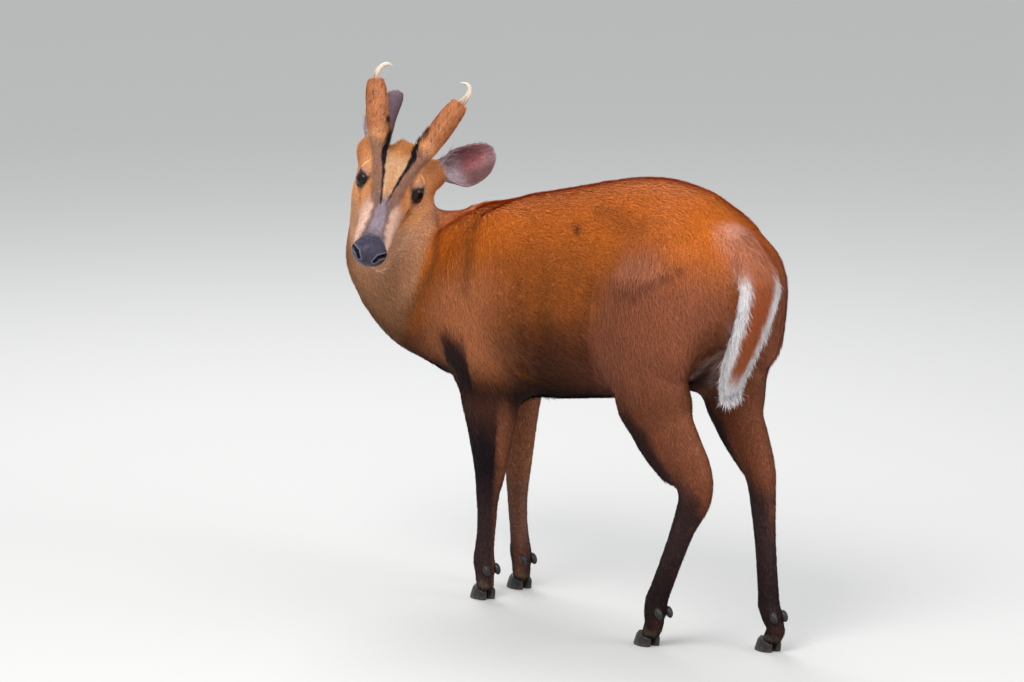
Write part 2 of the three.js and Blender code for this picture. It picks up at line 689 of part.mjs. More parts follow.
// A lock of hair: a flat blade that tapers to its tip and bends towards `lie`.
function lock(root, out, lie, wide, length) {
  const rings = LOCK_TAPER.map(([share, size]) => {
    const place = root.clone()
      .addScaledVector(out, length * share * (1 - 0.5 * share))
      .addScaledVector(lie, length * 0.5 * share * share);
    const flat = wide.clone().multiplyScalar(LOCK.width * size);
    const over = wide.clone().cross(out).normalize().multiplyScalar(LOCK.thickness * size);
    return [flat, over, flat.clone().negate(), over.clone().negate()].map((way) => place.clone().add(way));
  });
  return loft(rings);
}
function tailLocks() {
  const knotAt = runOf(TAIL);
  const locks = [];
  const grow = (share, aside, splay, sunk, length) => {
    const { place, size, side, way } = knotAt(share);
    const out = way.clone().addScaledVector(side, splay).normalize();
    const wide = side.clone().addScaledVector(out, -out.dot(side)).normalize();
    const root = place.addScaledVector(side, aside * size.x).addScaledVector(way, -sunk * LOCK.length);
    locks.push(lock(root, out, way, wide, length * LOCK.length));
  };
  for (let pair = 0; pair < FRINGE.pairs; pair += 1)
    for (const sign of Object.values(SIDES)) {
      const share = mix(FRINGE.first, FRINGE.last, pair / (FRINGE.pairs - 1));
      grow(share, 0.68 * sign, FRINGE.splay * sign, FRINGE.sunk, 1 + 0.12 * Math.sin(5 * pair));
    }
  for (let n = 0; n < FRINGE.tips; n += 1) {
    const spread = (2 * n) / (FRINGE.tips - 1) - 1;
    grow(FRINGE.last, 0.6 * spread, FRINGE.tipSplay * spread, 0, 1.05 - 0.2 * spread * spread);
  }
  return locks;
}
const rump = [torso, ...thighs].map((shape) => shape.translate(at(-GAP, 0, GAP / 2).toArray()));
const tailCore = limbRings(TAIL, { rows: 12, columns: 12 });
const tail = tailLocks().reduce((shape, hair) => shape.add(hair), tailCore);
add("tail", largest(rump.reduce((shape, tool) => shape.subtract(tool), tail)), coat(FUR.rust));

// Hooves: two claws on each foot, each a flat sole, sloping walls and a sloping top.
function claw(foot, aside) {
  const { length, width, cleft, top, slope, setback } = HOOF;
  const corners = 12;
  const ring = (middle, long, wide, height) =>
    Array.from({ length: corners }, (_, i) => {
      const turn = (2 * Math.PI * i) / corners;
      const toe = Math.max(0, Math.cos(turn));
      const forward = middle + 0.5 * long * Math.cos(turn);
      const out = 0.5 * wide * Math.sin(turn) * (1 - 0.4 * toe * toe);
      const left = foot.left + aside * (0.5 * (cleft + width)) + out - aside * 1.5 * toe * toe;
      return at(foot.forward + forward, left, height(forward));
    });
  const coronary = (forward) => top + slope * (forward + setback) - GAP / 2;
  return loft([
    ring(3, length, width, () => 0),
    ring(2, length, width + 0.6, () => 3),
    ring(-1, 0.84 * length, width, (forward) => mix(3, coronary(forward), 0.6)),
    ring(-setback, 0.66 * length, width - 0.6, coronary),
  ]);
}
for (const [name, foot] of Object.entries(FEET))
  for (const aside of [1, -1]) {
    const outer = Math.sign(foot.left) === aside;
    add(`hoof_${name}_${outer ? "outer" : "inner"}`, claw(foot, aside), KERATIN);
  }

// Ears: cups of even thickness, from a nearly closed tube at the root to a shallow tip.
function earCup({ along, open, wide, root }) {
  const rows = 10;
  const columns = 9;
  const place = (row, column, offset) => {
    const share = row / rows;
    const half = radians(55 + 95 * (1 - share) ** 2.5);
    const outline = Math.sqrt(Math.max(0.05, 1 - ((share - 0.42) / 0.6) ** 2));
    const halfWidth = mix(EAR.rootHalfWidth, EAR.halfWidth * outline, Math.min(1, 3 * share));
    const radius = halfWidth / Math.sin(Math.min(half, Math.PI / 2));
    const turn = half * ((2 * column) / columns - 1);
    const lift = 0.5 * radius * (1 + Math.cos(half));
    return root.clone()
      .addScaledVector(along, EAR.length * share + GAP / 2)
      .addScaledVector(wide, (radius + offset) * Math.sin(turn) + EAR.skew * Math.sin(Math.PI * share))
      .addScaledVector(open, lift - (radius + offset) * Math.cos(turn));
  };
  const corners = [];
  const faces = [];
  for (const offset of [EAR.thickness / 2, -EAR.thickness / 2])
    for (let row = 0; row <= rows; row += 1)
      for (let column = 0; column <= columns; column += 1) corners.push(place(row, column, offset));
  const id = (face, row, column) => face * (rows + 1) * (columns + 1) + row * (columns + 1) + column;
  const quad = (a, b, c, d) => faces.push(a, b, c, a, c, d);
  for (let row = 0; row < rows; row += 1)
    for (let column = 0; column < columns; column += 1) {
      const [a, b] = [id(0, row, column), id(0, row, column + 1)];
      const [c, d] = [id(0, row + 1, column + 1), id(0, row + 1, column)];
      const shift = id(1, 0, 0);
      quad(a, b, c, d);
      faces.push(a + shift, c + shift, b + shift, a + shift, d + shift, c + shift);
    }
  for (let row = 0; row < rows; row += 1) {
    quad(id(0, row, 0), id(0, row + 1, 0), id(1, row + 1, 0), id(1, row, 0));
    quad(id(0, row, columns), id(1, row, columns), id(1, row + 1, columns), id(0, row + 1, columns));
  }
  for (let column = 0; column < columns; column += 1) {
    quad(id(0, 0, column), id(1, 0, column), id(1, 0, column + 1), id(0, 0, column + 1));
    quad(id(0, rows, column), id(0, rows, column + 1), id(1, rows, column + 1), id(1, rows, column));
  }
  const shape = solidOf(corners, faces);
  return shape.volume() > 0 ? shape : solidOf(corners, faces.reverse());
}

// Antlers: a burr, then a short beam that sweeps back and hooks inwards, with a brow tine at its foot.
const ANTLER = [
  [0, 0, 0, 7.8],
  [-2, 0.6, 1.8, 8.4],
  [-3.8, 1.1, 3.3, 6.6],
  [-7.5, 2, 5.6, 5.4],
  [-15, 4, 8.5, 4.6],
  [-25, 4, 7.5, 4],
  [-34, -1, 1, 3.3],
  [-40, -7.5, -5, 2.4],
  [-43, -13.5, -9, 0.8],
];
const BROW_TINE = { from: [-5, 0, 4.5], to: [0, -10.5, 7.5], radii: [2.8, 2.1, 0.9] };
const tube = (places, radii, sides, first) => {
  const rings = places.map((place, i) => {
    const way = (places[i + 1] ?? place).clone().sub(places[i - 1] ?? place).normalize();
    if (i === 0 && first) way.copy(first);
    const across = HEAD.left.clone().addScaledVector(way, -HEAD.left.dot(way)).normalize();
    const over = way.clone().cross(across);
    return Array.from({ length: sides }, (_, n) => {
      const turn = (2 * Math.PI * n) / sides;
      return place.clone()
        .addScaledVector(across, radii[i] * Math.cos(turn))
        .addScaledVector(over, radii[i] * Math.sin(turn));
    });
  });
  return loft(rings);
};
function antler(sign) {
  const { facing } = coronet(sign);
  const onAntler = ([nose, out, top]) =>
    onHead(CORONET[0] + nose, sign * (CORONET[1] + out), CORONET[2] + top).addScaledVector(facing, GAP / 2);
  const beam = tube(ANTLER.map(onAntler), ANTLER.map(([, , , radius]) => radius), 10, facing);
  const from = onAntler(BROW_TINE.from);
  const to = onAntler(BROW_TINE.to);
  const bare = tube([from, from.clone().lerp(to, 0.6), to], BROW_TINE.radii, 8);
  const tine = largest(bare.subtract(beam)).translate(to.clone().sub(from).setLength(GAP).toArray());
  return { beam, tine };
}

// Head, with eye sockets, lids, nostrils and the line of the mouth.
const eyePlace = (sign) => onHead(1, sign * 32, 0);
const eyeLook = (sign) => headWay(0.6, sign * 0.74, 0.28).normalize();
const LID = { radius: 11.6, tube: 2.8, ahead: 7.6, opening: 9.6, openingAhead: 12 };
const lids = Object.values(SIDES).map((sign) => {
  const ring = new THREE.TorusGeometry(LID.radius, LID.tube, 6, 14).scale(1.12, 0.92, 1);
  const look = eyeLook(sign);
  const level = HEAD.nose.clone().addScaledVector(look, -HEAD.nose.dot(look)).normalize();
  ring.applyMatrix4(new THREE.Matrix4().makeBasis(level, look.clone().cross(level), look));
  return solid(ring.translate(...eyePlace(sign).addScaledVector(look, LID.ahead).toArray()));
});
const MOUTH = { corner: 60, front: 104, halfWidth: 18.5, level: -49, gape: 1.4, outside: 40 };
function mouthLine() {
  const { corner, front, halfWidth, level, gape, outside } = MOUTH;
  const turnAt = front - halfWidth;
  const outline = new THREE.Shape()
    .moveTo(corner, -outside)
    .lineTo(front + outside, -outside)
    .lineTo(front + outside, outside)
    .lineTo(corner, outside)
    .lineTo(corner, halfWidth)
    .lineTo(turnAt, halfWidth)
    .absarc(turnAt, 0, halfWidth, Math.PI / 2, -Math.PI / 2, true)
    .lineTo(corner, -halfWidth);
  const slot = new THREE.ExtrudeGeometry(outline, { depth: gape, bevelEnabled: false, curveSegments: 5 });
  slot.applyMatrix4(new THREE.Matrix4().makeBasis(HEAD.nose, HEAD.left, HEAD.top));
  return solid(slot.translate(...onHead(0, 0, level).toArray()));
}
const nostrils = Object.values(SIDES).map((sign) => {
  const bore = new THREE.SphereGeometry(1, 8, 6).scale(6, 3.2, 4.2);
  bore.applyMatrix4(new THREE.Matrix4().makeBasis(HEAD.nose, HEAD.left, HEAD.top));
  return solid(bore.translate(...onHead(110, sign * 13, -37).toArray()));
});
const headCuts = [turned(NAPE), THROAT, CHEEK];
const headFlesh = fleshPiece(headBox([-110, -75, -90], [125, 75, 90]), CELL.head, headCuts);
const headParts = [
  ...Object.values(SIDES).flatMap((sign) => [
    sphere(eyePlace(sign), EYE_RADIUS + GAP, 13, 9),
    sphere(eyePlace(sign).addScaledVector(eyeLook(sign), LID.openingAhead), LID.opening, 12, 8),
  ]),
  ...Object.values(SIDES).map((sign) => nearBy(pedicleRoot(sign), onHead(-70, sign * 55, 90), 72)),
  ...earRoom,
  ...nostrils,
  mouthLine(),
];
const liddedHead = lids.reduce((a, b) => a.add(b), headFlesh);
const headShape = headParts.reduce((shape, tool) => shape.subtract(tool), liddedHead);
add("head", largest(headShape), coat(FUR.face));
for (const [side, sign] of Object.entries(SIDES)) {
  add(`eye_${side}`, sphere(eyePlace(sign), EYE_RADIUS, 13, 9), EYE);
  const ridge = limb(ridgeStations(sign), HEAD.left);
  const ends = [onHead(-20, sign * 30, 40), onHead(-100, sign * 62, 108)];
  const box = new THREE.Box3().setFromPoints(ends).expandByScalar(26);
  const pedicleCuts = [turned(pedicleRoot(sign)), coronet(sign)];
  add(`pedicle_${side}`, fleshPiece(box, CELL.pedicle, pedicleCuts, { field: ridge }), coat(FUR.face));
  const { beam, tine } = antler(sign);
  add(`antler_${side}`, beam, HORN);
  add(`brow_tine_${side}`, tine, HORN);
  add(`ear_${side}`, earCup(earFrame[side]), coat(FUR.face));
}

const whole = new THREE.Box3().setFromObject(group);
const middle = whole.getCenter(new THREE.Vector3());
group.position.set(-middle.x, -middle.y, -whole.min.z);

export default group;
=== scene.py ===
# %% [markdown]
# # A muntjac buck, life size
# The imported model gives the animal's solids: a torso, a neck, a head and so on, parted by thin cuts.
# Here they become one skin with fur on it, and the eyes, antlers and hooves get their own finer pieces.
# Every length is in metres, and the tables below are in millimetres, as a sculptor would measure.

# %% Load the model
import json
import math

import bmesh
import bpy
import numpy as np
from mathutils import Matrix, Vector
from mathutils.bvhtree import BVHTree

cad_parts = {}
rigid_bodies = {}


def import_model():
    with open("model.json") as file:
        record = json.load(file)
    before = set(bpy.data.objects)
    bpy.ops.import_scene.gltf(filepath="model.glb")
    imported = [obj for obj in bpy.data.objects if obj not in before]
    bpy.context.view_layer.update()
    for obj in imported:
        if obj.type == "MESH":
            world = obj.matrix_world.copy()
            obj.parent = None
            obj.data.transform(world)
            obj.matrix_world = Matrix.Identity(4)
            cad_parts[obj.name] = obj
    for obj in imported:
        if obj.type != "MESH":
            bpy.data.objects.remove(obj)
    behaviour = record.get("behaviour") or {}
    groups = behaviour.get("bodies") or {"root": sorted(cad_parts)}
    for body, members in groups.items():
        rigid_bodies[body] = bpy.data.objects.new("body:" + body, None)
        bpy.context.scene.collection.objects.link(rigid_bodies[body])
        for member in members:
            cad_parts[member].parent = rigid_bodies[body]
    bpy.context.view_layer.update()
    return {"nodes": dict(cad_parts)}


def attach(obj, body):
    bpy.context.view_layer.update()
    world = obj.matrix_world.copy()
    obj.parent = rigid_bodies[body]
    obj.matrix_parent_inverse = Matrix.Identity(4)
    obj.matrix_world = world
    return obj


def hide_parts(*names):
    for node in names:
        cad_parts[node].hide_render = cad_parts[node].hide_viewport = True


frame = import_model()
nodes = frame["nodes"]
MM = 0.001
SIDES = {"left": 1, "right": -1}

# %% [markdown]
# ## The animal's own directions
# The body faces -Y and its left is +X. The head is turned back over the left shoulder, droops a little
# and leans, so it has axes of its own: to the nose, to the animal's left, and up from the palate.
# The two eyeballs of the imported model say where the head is.

# %% Directions of the body and the head
HEAD_TURN = 142
HEAD_DROOP = 26
HEAD_LEAN = 16
SIGHT_SLOPE = 11
EYE_AHEAD = 1
EYES_MIDDLE = (107, 115, 537)


def one_long(vector):
    """The same direction, of length one."""
    vector = np.array(vector, float)
    return vector / np.linalg.norm(vector)


def square_to(way, axis):
    """The part of a way that is square to an axis, of length one."""
    return one_long(way - axis * np.dot(way, axis))


def body_way(forward, left, up):
    return np.array([left, -forward, up], float) * MM


def centre_of(node):
    corners = np.array([v.co for v in nodes[node].data.vertices])
    return corners.mean(axis=0)


turn, droop, slope = (math.radians(v) for v in (HEAD_TURN, HEAD_DROOP, SIGHT_SLOPE))
level = Vector((math.sin(turn), -math.cos(turn), 0))
upright = Vector((0, 0, 1))
sight = -level * math.cos(slope) - upright * math.sin(slope)
lean = Matrix.Rotation(math.radians(HEAD_LEAN), 3, sight)
nose_axis = lean @ (level * math.cos(droop) - upright * math.sin(droop))
left_axis = lean @ upright.cross(level).normalized()
top_axis = nose_axis.cross(left_axis)
HEAD_AXES = np.array([nose_axis, left_axis, top_axis])


def head_way(nose, left, top):
    return np.array([nose, left, top], float) @ HEAD_AXES * MM


eyes_middle = (centre_of("eye_left") + centre_of("eye_right")) / 2 - head_way(EYE_AHEAD, 0, 0)
body_origin = eyes_middle - body_way(*EYES_MIDDLE)


def body_at(forward, left, up):
    return body_origin + body_way(forward, left, up)


def head_at(nose, left, top):
    return eyes_middle + head_way(nose, left, top)


def in_body(points):
    """Places as forward, left, up in millimetres."""
    away = (points - body_origin) / MM
    return np.stack([-away[:, 1], away[:, 0], away[:, 2]], axis=1)


def in_head(points):
    """Places as nose, left, top in millimetres."""
    return (points - eyes_middle) @ HEAD_AXES.T / MM


print("eyes' middle", np.round(eyes_middle, 4), "floor under the left fore foot", np.round(body_origin, 4))

# %% [markdown]
# ## Camera, light and floor
# The photo is taken with a long lens from behind the animal's left side, so the camera stands nine metres
# away. A big soft lamp high on the camera's side, a fill and a rim lamp stand for the open sky.

# %% Camera
CAMERA_TURN = 142
CAMERA_RISE = 10.3
CAMERA_DISTANCE = 9.0
LENS = 247.9
SENSOR_WIDTH = 36
FAR_END = 100
PICTURE_MIDDLE = (-0.120, 0.0613)
AIM = (-200, 0, 300)


def look_from(turn, rise):
    turn, rise = math.radians(turn), math.radians(rise)
    return Vector((math.sin(turn) * math.cos(rise), -math.cos(turn) * math.cos(rise), math.sin(rise)))


back = look_from(CAMERA_TURN, CAMERA_RISE)
right = (-back).cross(upright).normalized()
up = right.cross(-back)
aim = Vector(body_at(*AIM))
picture_middle = aim + right * PICTURE_MIDDLE[0] + up * PICTURE_MIDDLE[1]
camera_data = bpy.data.cameras.new("camera")
camera_data.lens = LENS
camera_data.sensor_width = SENSOR_WIDTH
camera_data.clip_end = FAR_END
camera = bpy.data.objects.new("camera", camera_data)
bpy.context.scene.collection.objects.link(camera)
camera.location = aim + back * CAMERA_DISTANCE
camera.rotation_euler = (picture_middle - camera.location).to_track_quat("-Z", "Y").to_euler()
bpy.context.scene.camera = camera


# %% Lamps, sky and floor
SKY = {"colour": (0.86, 0.88, 0.9, 1), "strength": 1.0}
FLOOR = {"half": 25, "colour": (0.5, 0.5, 0.49, 1), "roughness": 0.8}


def lamp(name, turn, rise, distance, size, watts, colour):
    data = bpy.data.lights.new(name, "AREA")
    data.shape = "DISK"
    data.size = size
    data.energy = watts
    data.color = colour
    piece = bpy.data.objects.new(name, data)
    bpy.context.scene.collection.objects.link(piece)
    way = look_from(turn, rise)
    piece.location = aim + way * distance
    piece.rotation_euler = (-way).to_track_quat("-Z", "Y").to_euler()


lamp("key_lamp", turn=118, rise=46, distance=3.0, size=1.6, watts=68, colour=(1.0, 0.98, 0.95))
lamp("fill_lamp", turn=196, rise=30, distance=3.4, size=2.2, watts=44, colour=(0.96, 0.98, 1.0))
lamp("rim_lamp", turn=-20, rise=45, distance=3.0, size=1.4, watts=45, colour=(1, 1, 1))

world = bpy.data.worlds.new("studio")
world.use_nodes = True
world.node_tree.nodes["Background"].inputs["Color"].default_value = SKY["colour"]
world.node_tree.nodes["Background"].inputs["Strength"].default_value = SKY["strength"]
bpy.context.scene.world = world
bpy.context.scene.view_settings.view_transform = "Standard"


def new_object(name, mesh):
    piece = bpy.data.objects.new(name, mesh)
    bpy.context.scene.collection.objects.link(piece)
    return piece


def mesh_of(bm, name):
    mesh = bpy.data.meshes.new(name)
    bm.to_mesh(mesh)
    bm.free()
    return mesh


def new_material(name, roughness):
    material = bpy.data.materials.new(name)
    material.use_nodes = True
    material.node_tree.nodes["Principled BSDF"].inputs["Roughness"].default_value = roughness
    return material


bm = bmesh.new()
bmesh.ops.create_grid(bm, x_segments=1, y_segments=1, size=FLOOR["half"])
floor = new_object("floor", mesh_of(bm, "floor"))
floor_material = new_material("floor", FLOOR["roughness"])
floor_material.node_tree.nodes["Principled BSDF"].inputs["Base Color"].default_value = FLOOR["colour"]
floor.data.materials.append(floor_material)
print("camera, three lamps, the sky and the floor are in place")

# %% [markdown]
# ## The skin
# Copies of the flesh are pushed out by a hair's breadth so that they meet across the cuts, and a voxel
# remesh melts them into one surface. A union of the solids would keep a crease at every cut, and the animal
# has none. The eyeballs go in too, so that the sockets are filled for now.

# %% One surface from the flesh
FLESH = [name for name in nodes if not name.startswith(("eye_", "antler_", "brow_tine_", "hoof_"))]
GROW = 0.45 * MM
EYE_GROW = 0.6 * MM
VOXEL = 2.0 * MM


def merged_copy(name, grow):
    """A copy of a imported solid, its loose triangles joined, pushed out along its normals."""
    bm = bmesh.new()
    bm.from_mesh(nodes[name].data)
    bmesh.ops.remove_doubles(bm, verts=bm.verts, dist=1e-6)
    bm.normal_update()
    moves = [v.normal * grow for v in bm.verts]
    for vertex, move in zip(bm.verts, moves):
        vertex.co += move
    return bm


def apply_modifiers(piece):
    """Replaces a piece's mesh by what its modifiers make of it."""
    graph = bpy.context.evaluated_depsgraph_get()
    mesh = bpy.data.meshes.new_from_object(piece.evaluated_get(graph))
    piece.modifiers.clear()
    old = piece.data
    piece.data = mesh
    bpy.data.meshes.remove(old)
    return piece


def voxel_remesh(piece, size):
    modifier = piece.modifiers.new("melt", "REMESH")
    modifier.mode = "VOXEL"
    modifier.voxel_size = size
    return apply_modifiers(piece)


def positions_of(mesh):
    values = np.empty(len(mesh.vertices) * 3, np.float32)
    mesh.vertices.foreach_get("co", values)
    return values.reshape(-1, 3).astype(float)


def set_positions(mesh, positions):
    mesh.vertices.foreach_set("co", positions.astype(np.float32).ravel())
    mesh.update()


def normals_of(mesh):
    values = np.empty(len(mesh.vertices) * 3, np.float32)
    mesh.vertices.foreach_get("normal", values)
    return values.reshape(-1, 3).astype(float)


def keep_largest(piece):
    """Removes every loose bit but the biggest."""
    bm = bmesh.new()
    bm.from_mesh(piece.data)
    bm.verts.ensure_lookup_table()
    seen = np.zeros(len(bm.verts), bool)
    groups = []
    for start in bm.verts:
        if seen[start.index]:
            continue
        seen[start.index] = True
        stack, group = [start], [start]
        while stack:
            for edge in stack.pop().link_edges:
                for vertex in edge.verts:
                    if not seen[vertex.index]:
                        seen[vertex.index] = True
                        stack.append(vertex)
                        group.append(vertex)
        groups.append(group)
    groups.sort(key=len)
    loose = [vertex for group in groups[:-1] for vertex in group]
    bmesh.ops.delete(bm, geom=loose, context="VERTS")
    bm.to_mesh(piece.data)
    bm.free()
    return len(groups) - 1


print(len(FLESH), "solids of flesh")

# %% Melt the copies together
flesh_names = sorted(FLESH)
body = bmesh.new()
part_faces, part_points, part_of_face = [], [], []
for number, name in enumerate(flesh_names):
    copy = merged_copy(name, GROW)
    offset = len(part_points)
    part_points += [v.co.copy() for v in copy.verts]
    copy.verts.index_update()
    part_faces += [[offset + v.index for v in face.verts] for face in copy.faces]
    part_of_face += [number] * len(copy.faces)
    piece = mesh_of(copy, name)
    body.from_mesh(piece)
    bpy.data.meshes.remove(piece)
for side in SIDES:
    copy = mesh_of(merged_copy(f"eye_{side}", EYE_GROW), "eye")
    body.from_mesh(copy)
    bpy.data.meshes.remove(copy)
skin = new_object("skin", mesh_of(body, "skin"))
voxel_remesh(skin, VOXEL)
loose_count = keep_largest(skin)
part_tree = BVHTree.FromPolygons(part_points, part_faces)
print("skin", len(skin.data.vertices), "corners,", loose_count, "loose bits removed")


# %% Which part each corner of the skin belongs to
def parts_at(points):
    return np.array([part_of_face[part_tree.find_nearest(Vector(p))[2]] for p in points])


skin_part = parts_at(positions_of(skin.data))
print({name: int((skin_part == n).sum()) for n, name in enumerate(flesh_names)})

# %% Lines on the head, in its own millimetres
EYE_CENTRE = (1, 32, 0)
EYE_RADIUS = 13
EYE_LOOK = (0.6, 0.74, 0.28)
EYE_CORNER = (1, 0, 0.3)
V_LINE = [(56, 4, 8), (45, 5.5, 12), (16, 12, 24), (-10, 20, 42), (-32, 29, 56), (-52, 37, 76)]
TEAR_SLIT = [(15, 31, -9), (22, 28.5, -13), (31, 26, -17)]
NOSTRIL = [(113, 10, -42), (111, 14, -36.5), (107.5, 18, -35.4), (101, 22.3, -38)]
MOUTH = [(60, 24, -47), (74, 22, -49), (88, 20, -53), (99, 15, -57), (106, 8, -59), (108, 0, -60)]
LIP_FOLD = [(112, 0, -26), (112, 0, -40), (108, 0, -50)]
CHEEK_FOLD = [(20, 34, -26), (40, 31, -36), (60, 26, -42)]


def sided(places):
    """Head places with both sides folded onto the left one."""
    return np.stack([places[:, 0], np.abs(places[:, 1]), places[:, 2]], axis=1)


def away_from(places, line):
    """How far each place is from a line of straight stretches, in the unit that both are given in."""
    line = np.array(line, float)
    best = np.linalg.norm(places - line[0], axis=1)
    for start, end in zip(line[:-1], line[1:]):
        span = end - start
        share = np.clip((places - start) @ span / (span @ span), 0, 1)
        best = np.minimum(best, np.linalg.norm(places - start - share[:, None] * span, axis=1))
    return best


def rise(values, low, high):
    """0 below the low value, 1 above the high one, and a soft step between."""
    share = np.clip((values - low) / (high - low), 0, 1)
    return share * share * (3 - 2 * share)


# %% [markdown]
# ## Smoothing
# The solids are faceted, coarsest on the trunk. The Smooth modifier evens them out, most where the facets
# are big, and hardly at all on the head and the ears. The trunk and legs are then made of fewer, larger
# faces, as they have no fine forms, and the skin is drawn in by the coat's depth.

# %% Smooth the skin and draw it in
SMOOTHING = {
    "torso": 1.0,
    "neck": 0.8,
    "shoulder": 0.7,
    "thigh": 0.7,
    "shank": 0.3,
    "forearm": 0.24,
    "cannon": 0.16,
    "tail": 0.2,
    "head": 0.09,
    "pedicle": 0.09,
    "ear": 0.05,
}
COAT_DEPTH = {
    "torso": 1.0,
    "neck": 1.4,
    "shoulder": 1.2,
    "thigh": 1.2,
    "shank": 1.4,
    "forearm": 1.3,
    "cannon": 1.6,
    "tail": 2.0,
    "head": 0.7,
    "pedicle": 1.2,
    "ear": 0.5,
}
SMOOTH_ROUNDS = 170
EYE_SMOOTHING = {"weight": 0.3, "from": 15, "to": 27}


def by_part(table, parts):
    """One value for each corner, from a table of the parts' first names."""
    values = np.array([table[name.split("_")[0]] for name in flesh_names])
    return values[parts]


def weigh(piece, weights, name):
    """Stores one weight for each corner in a vertex group."""
    group = piece.vertex_groups.new(name=name)
    for weight in np.unique(weights):
        group.add([int(i) for i in np.flatnonzero(weights == weight)], float(weight), "REPLACE")


def smooth(piece, rounds, weights=None):
    """Evens a piece out, everywhere alike or as much as the weights say."""
    modifier = piece.modifiers.new("smooth", "SMOOTH")
    modifier.factor = 0.5
    modifier.iterations = rounds
    if weights is not None:
        weigh(piece, weights, "smooth")
        modifier.vertex_group = "smooth"
    apply_modifiers(piece)
    piece.vertex_groups.clear()


def edge_ends(mesh):
    ends = np.empty(len(mesh.edges) * 2, np.int32)
    mesh.edges.foreach_get("vertices", ends)
    return ends.reshape(-1, 2)


def even_out(values, ends, rounds):
    """Averages a value over neighbouring corners, again and again."""
    values = np.array(values, float)
    count = len(values)
    flat = values.reshape(count, -1)
    degree = np.maximum(np.bincount(ends.ravel(), minlength=count), 1)
    for _ in range(rounds):
        for column in range(flat.shape[1]):
            total = np.bincount(ends[:, 0], flat[ends[:, 1], column], count)
            total += np.bincount(ends[:, 1], flat[ends[:, 0], column], count)
            flat[:, column] = 0.5 * flat[:, column] + 0.5 * total / degree
    return flat.reshape(values.shape)


skin_ends = edge_ends(skin.data)
smoothing = np.round(even_out(by_part(SMOOTHING, skin_part), skin_ends, 12), 2)
eye_room = np.linalg.norm(sided(in_head(positions_of(skin.data))) - EYE_CENTRE, axis=1)
by_the_eye = 1 - rise(eye_room, EYE_SMOOTHING["from"], EYE_SMOOTHING["to"])
smoothing = np.maximum(smoothing, np.round(EYE_SMOOTHING["weight"] * by_the_eye, 2))
smooth(skin, SMOOTH_ROUNDS, smoothing)
depth = even_out(by_part(COAT_DEPTH, skin_part), skin_ends, 8) * MM
set_positions(skin.data, positions_of(skin.data) - normals_of(skin.data) * depth[:, None])
print("smoothed")

# %% Fewer faces where the form is plain, more on the face
COARSE_SHARE = 0.17
FINE_PARTS = ("head", "ear", "pedicle")
NEAR_LINE = 4.5
FIRST_ROOM = {"eye": 24, "nose": 90}
SECOND_ROOM = {"eye": 18, "nose": 97}
NOSE_LIMITS = {"ahead": 130, "aside": 30, "below": -75}


def thin_out(piece, weights, share):
    weigh(piece, weights, "plain")
    modifier = piece.modifiers.new("plain", "DECIMATE")
    modifier.ratio = share
    modifier.vertex_group = "plain"
    apply_modifiers(piece)
    piece.vertex_groups.clear()


def split_faces(piece, chosen):
    """Splits the faces whose middle the test picks, and keeps the mesh closed."""
    bm = bmesh.new()
    bm.from_mesh(piece.data)
    faces = list(bm.faces)
    middles = np.array([f.calc_center_median() for f in faces])
    picked = [faces[i] for i in np.flatnonzero(chosen(in_head(middles)))]
    edges = list({edge for face in picked for edge in face.edges})
    bmesh.ops.subdivide_edges(bm, edges=edges, cuts=1, smooth=0.6, use_grid_fill=True)
    bmesh.ops.triangulate(bm, faces=bm.faces)
    bm.to_mesh(piece.data)
    bm.free()


def near_eye(places, room):
    return np.linalg.norm(sided(places) - EYE_CENTRE, axis=1) < room


def near_nose(places, ahead):
    x, y, z = places.T
    inside = (x < NOSE_LIMITS["ahead"]) & (np.abs(y) < NOSE_LIMITS["aside"]) & (z > NOSE_LIMITS["below"])
    return (x > ahead) & inside


def second_split(places, room=SECOND_ROOM):
    return near_eye(places, room["eye"]) | near_nose(places, room["nose"])


def first_split(places):
    near = second_split(places, FIRST_ROOM)
    for line in (V_LINE, TEAR_SLIT, MOUTH, CHEEK_FOLD):
        near |= away_from(sided(places), line) < NEAR_LINE
    return near


fine = np.isin(skin_part, [n for n, name in enumerate(flesh_names) if name.startswith(FINE_PARTS)])
thin_out(skin, 1.0 - fine, COARSE_SHARE)
print("thinned to", len(skin.data.polygons), "faces")
split_faces(skin, first_split)
split_faces(skin, second_split)
print("with the face refined", len(skin.data.polygons), "faces")

# %% [markdown]
# ## The face
# The head gets the most care. Each eye opening is an almond on the eyeball: the skin inside it sinks
# behind the ball, and the skin round it stays proud as two lids. The slit in front of the eye, the
# nostrils, the mouth and the lines on the forehead are grooves, pressed in along the skin's normals.

# %% Lids and eye openings
LID = {
    "half": 11.0,
    "upper": 8.4,
    "lower": 6.6,
    "proud": 0.8,
    "thick": 1.2,
    "sunk": 10.6,
    "edge": 0.9,
    "reach": 9,
}
FAR_AWAY = 30.0


def eye_axes(side):
    """To the front corner of the eye, up, and the way that the eye looks, in head millimetres."""
    look = one_long(np.array(EYE_LOOK) * (1, side, 1))
    ahead = square_to(EYE_CORNER, look)
    over = np.cross(look, ahead) * side
    return ahead, over, look


def almond(places, side):
    """How far a place lies outside the eye opening, below zero inside it, and its distance to the eye."""
    ahead, over, look = eye_axes(side)
    away = places - np.array(EYE_CENTRE) * (1, side, 1)
    reach = np.linalg.norm(away, axis=1)
    scale = EYE_RADIUS / np.maximum(reach, 1e-6)
    along, high, out = (away @ ahead) * scale, (away @ over) * scale, (away @ look) * scale
    half = np.where(high > 0, LID["upper"], LID["lower"])
    ratio = np.sqrt((along / LID["half"]) ** 2 + (high / half) ** 2 + 1e-9)
    return np.where(out > 0, (ratio - 1) * 0.5 * (LID["half"] + half) * 0.8, FAR_AWAY), reach


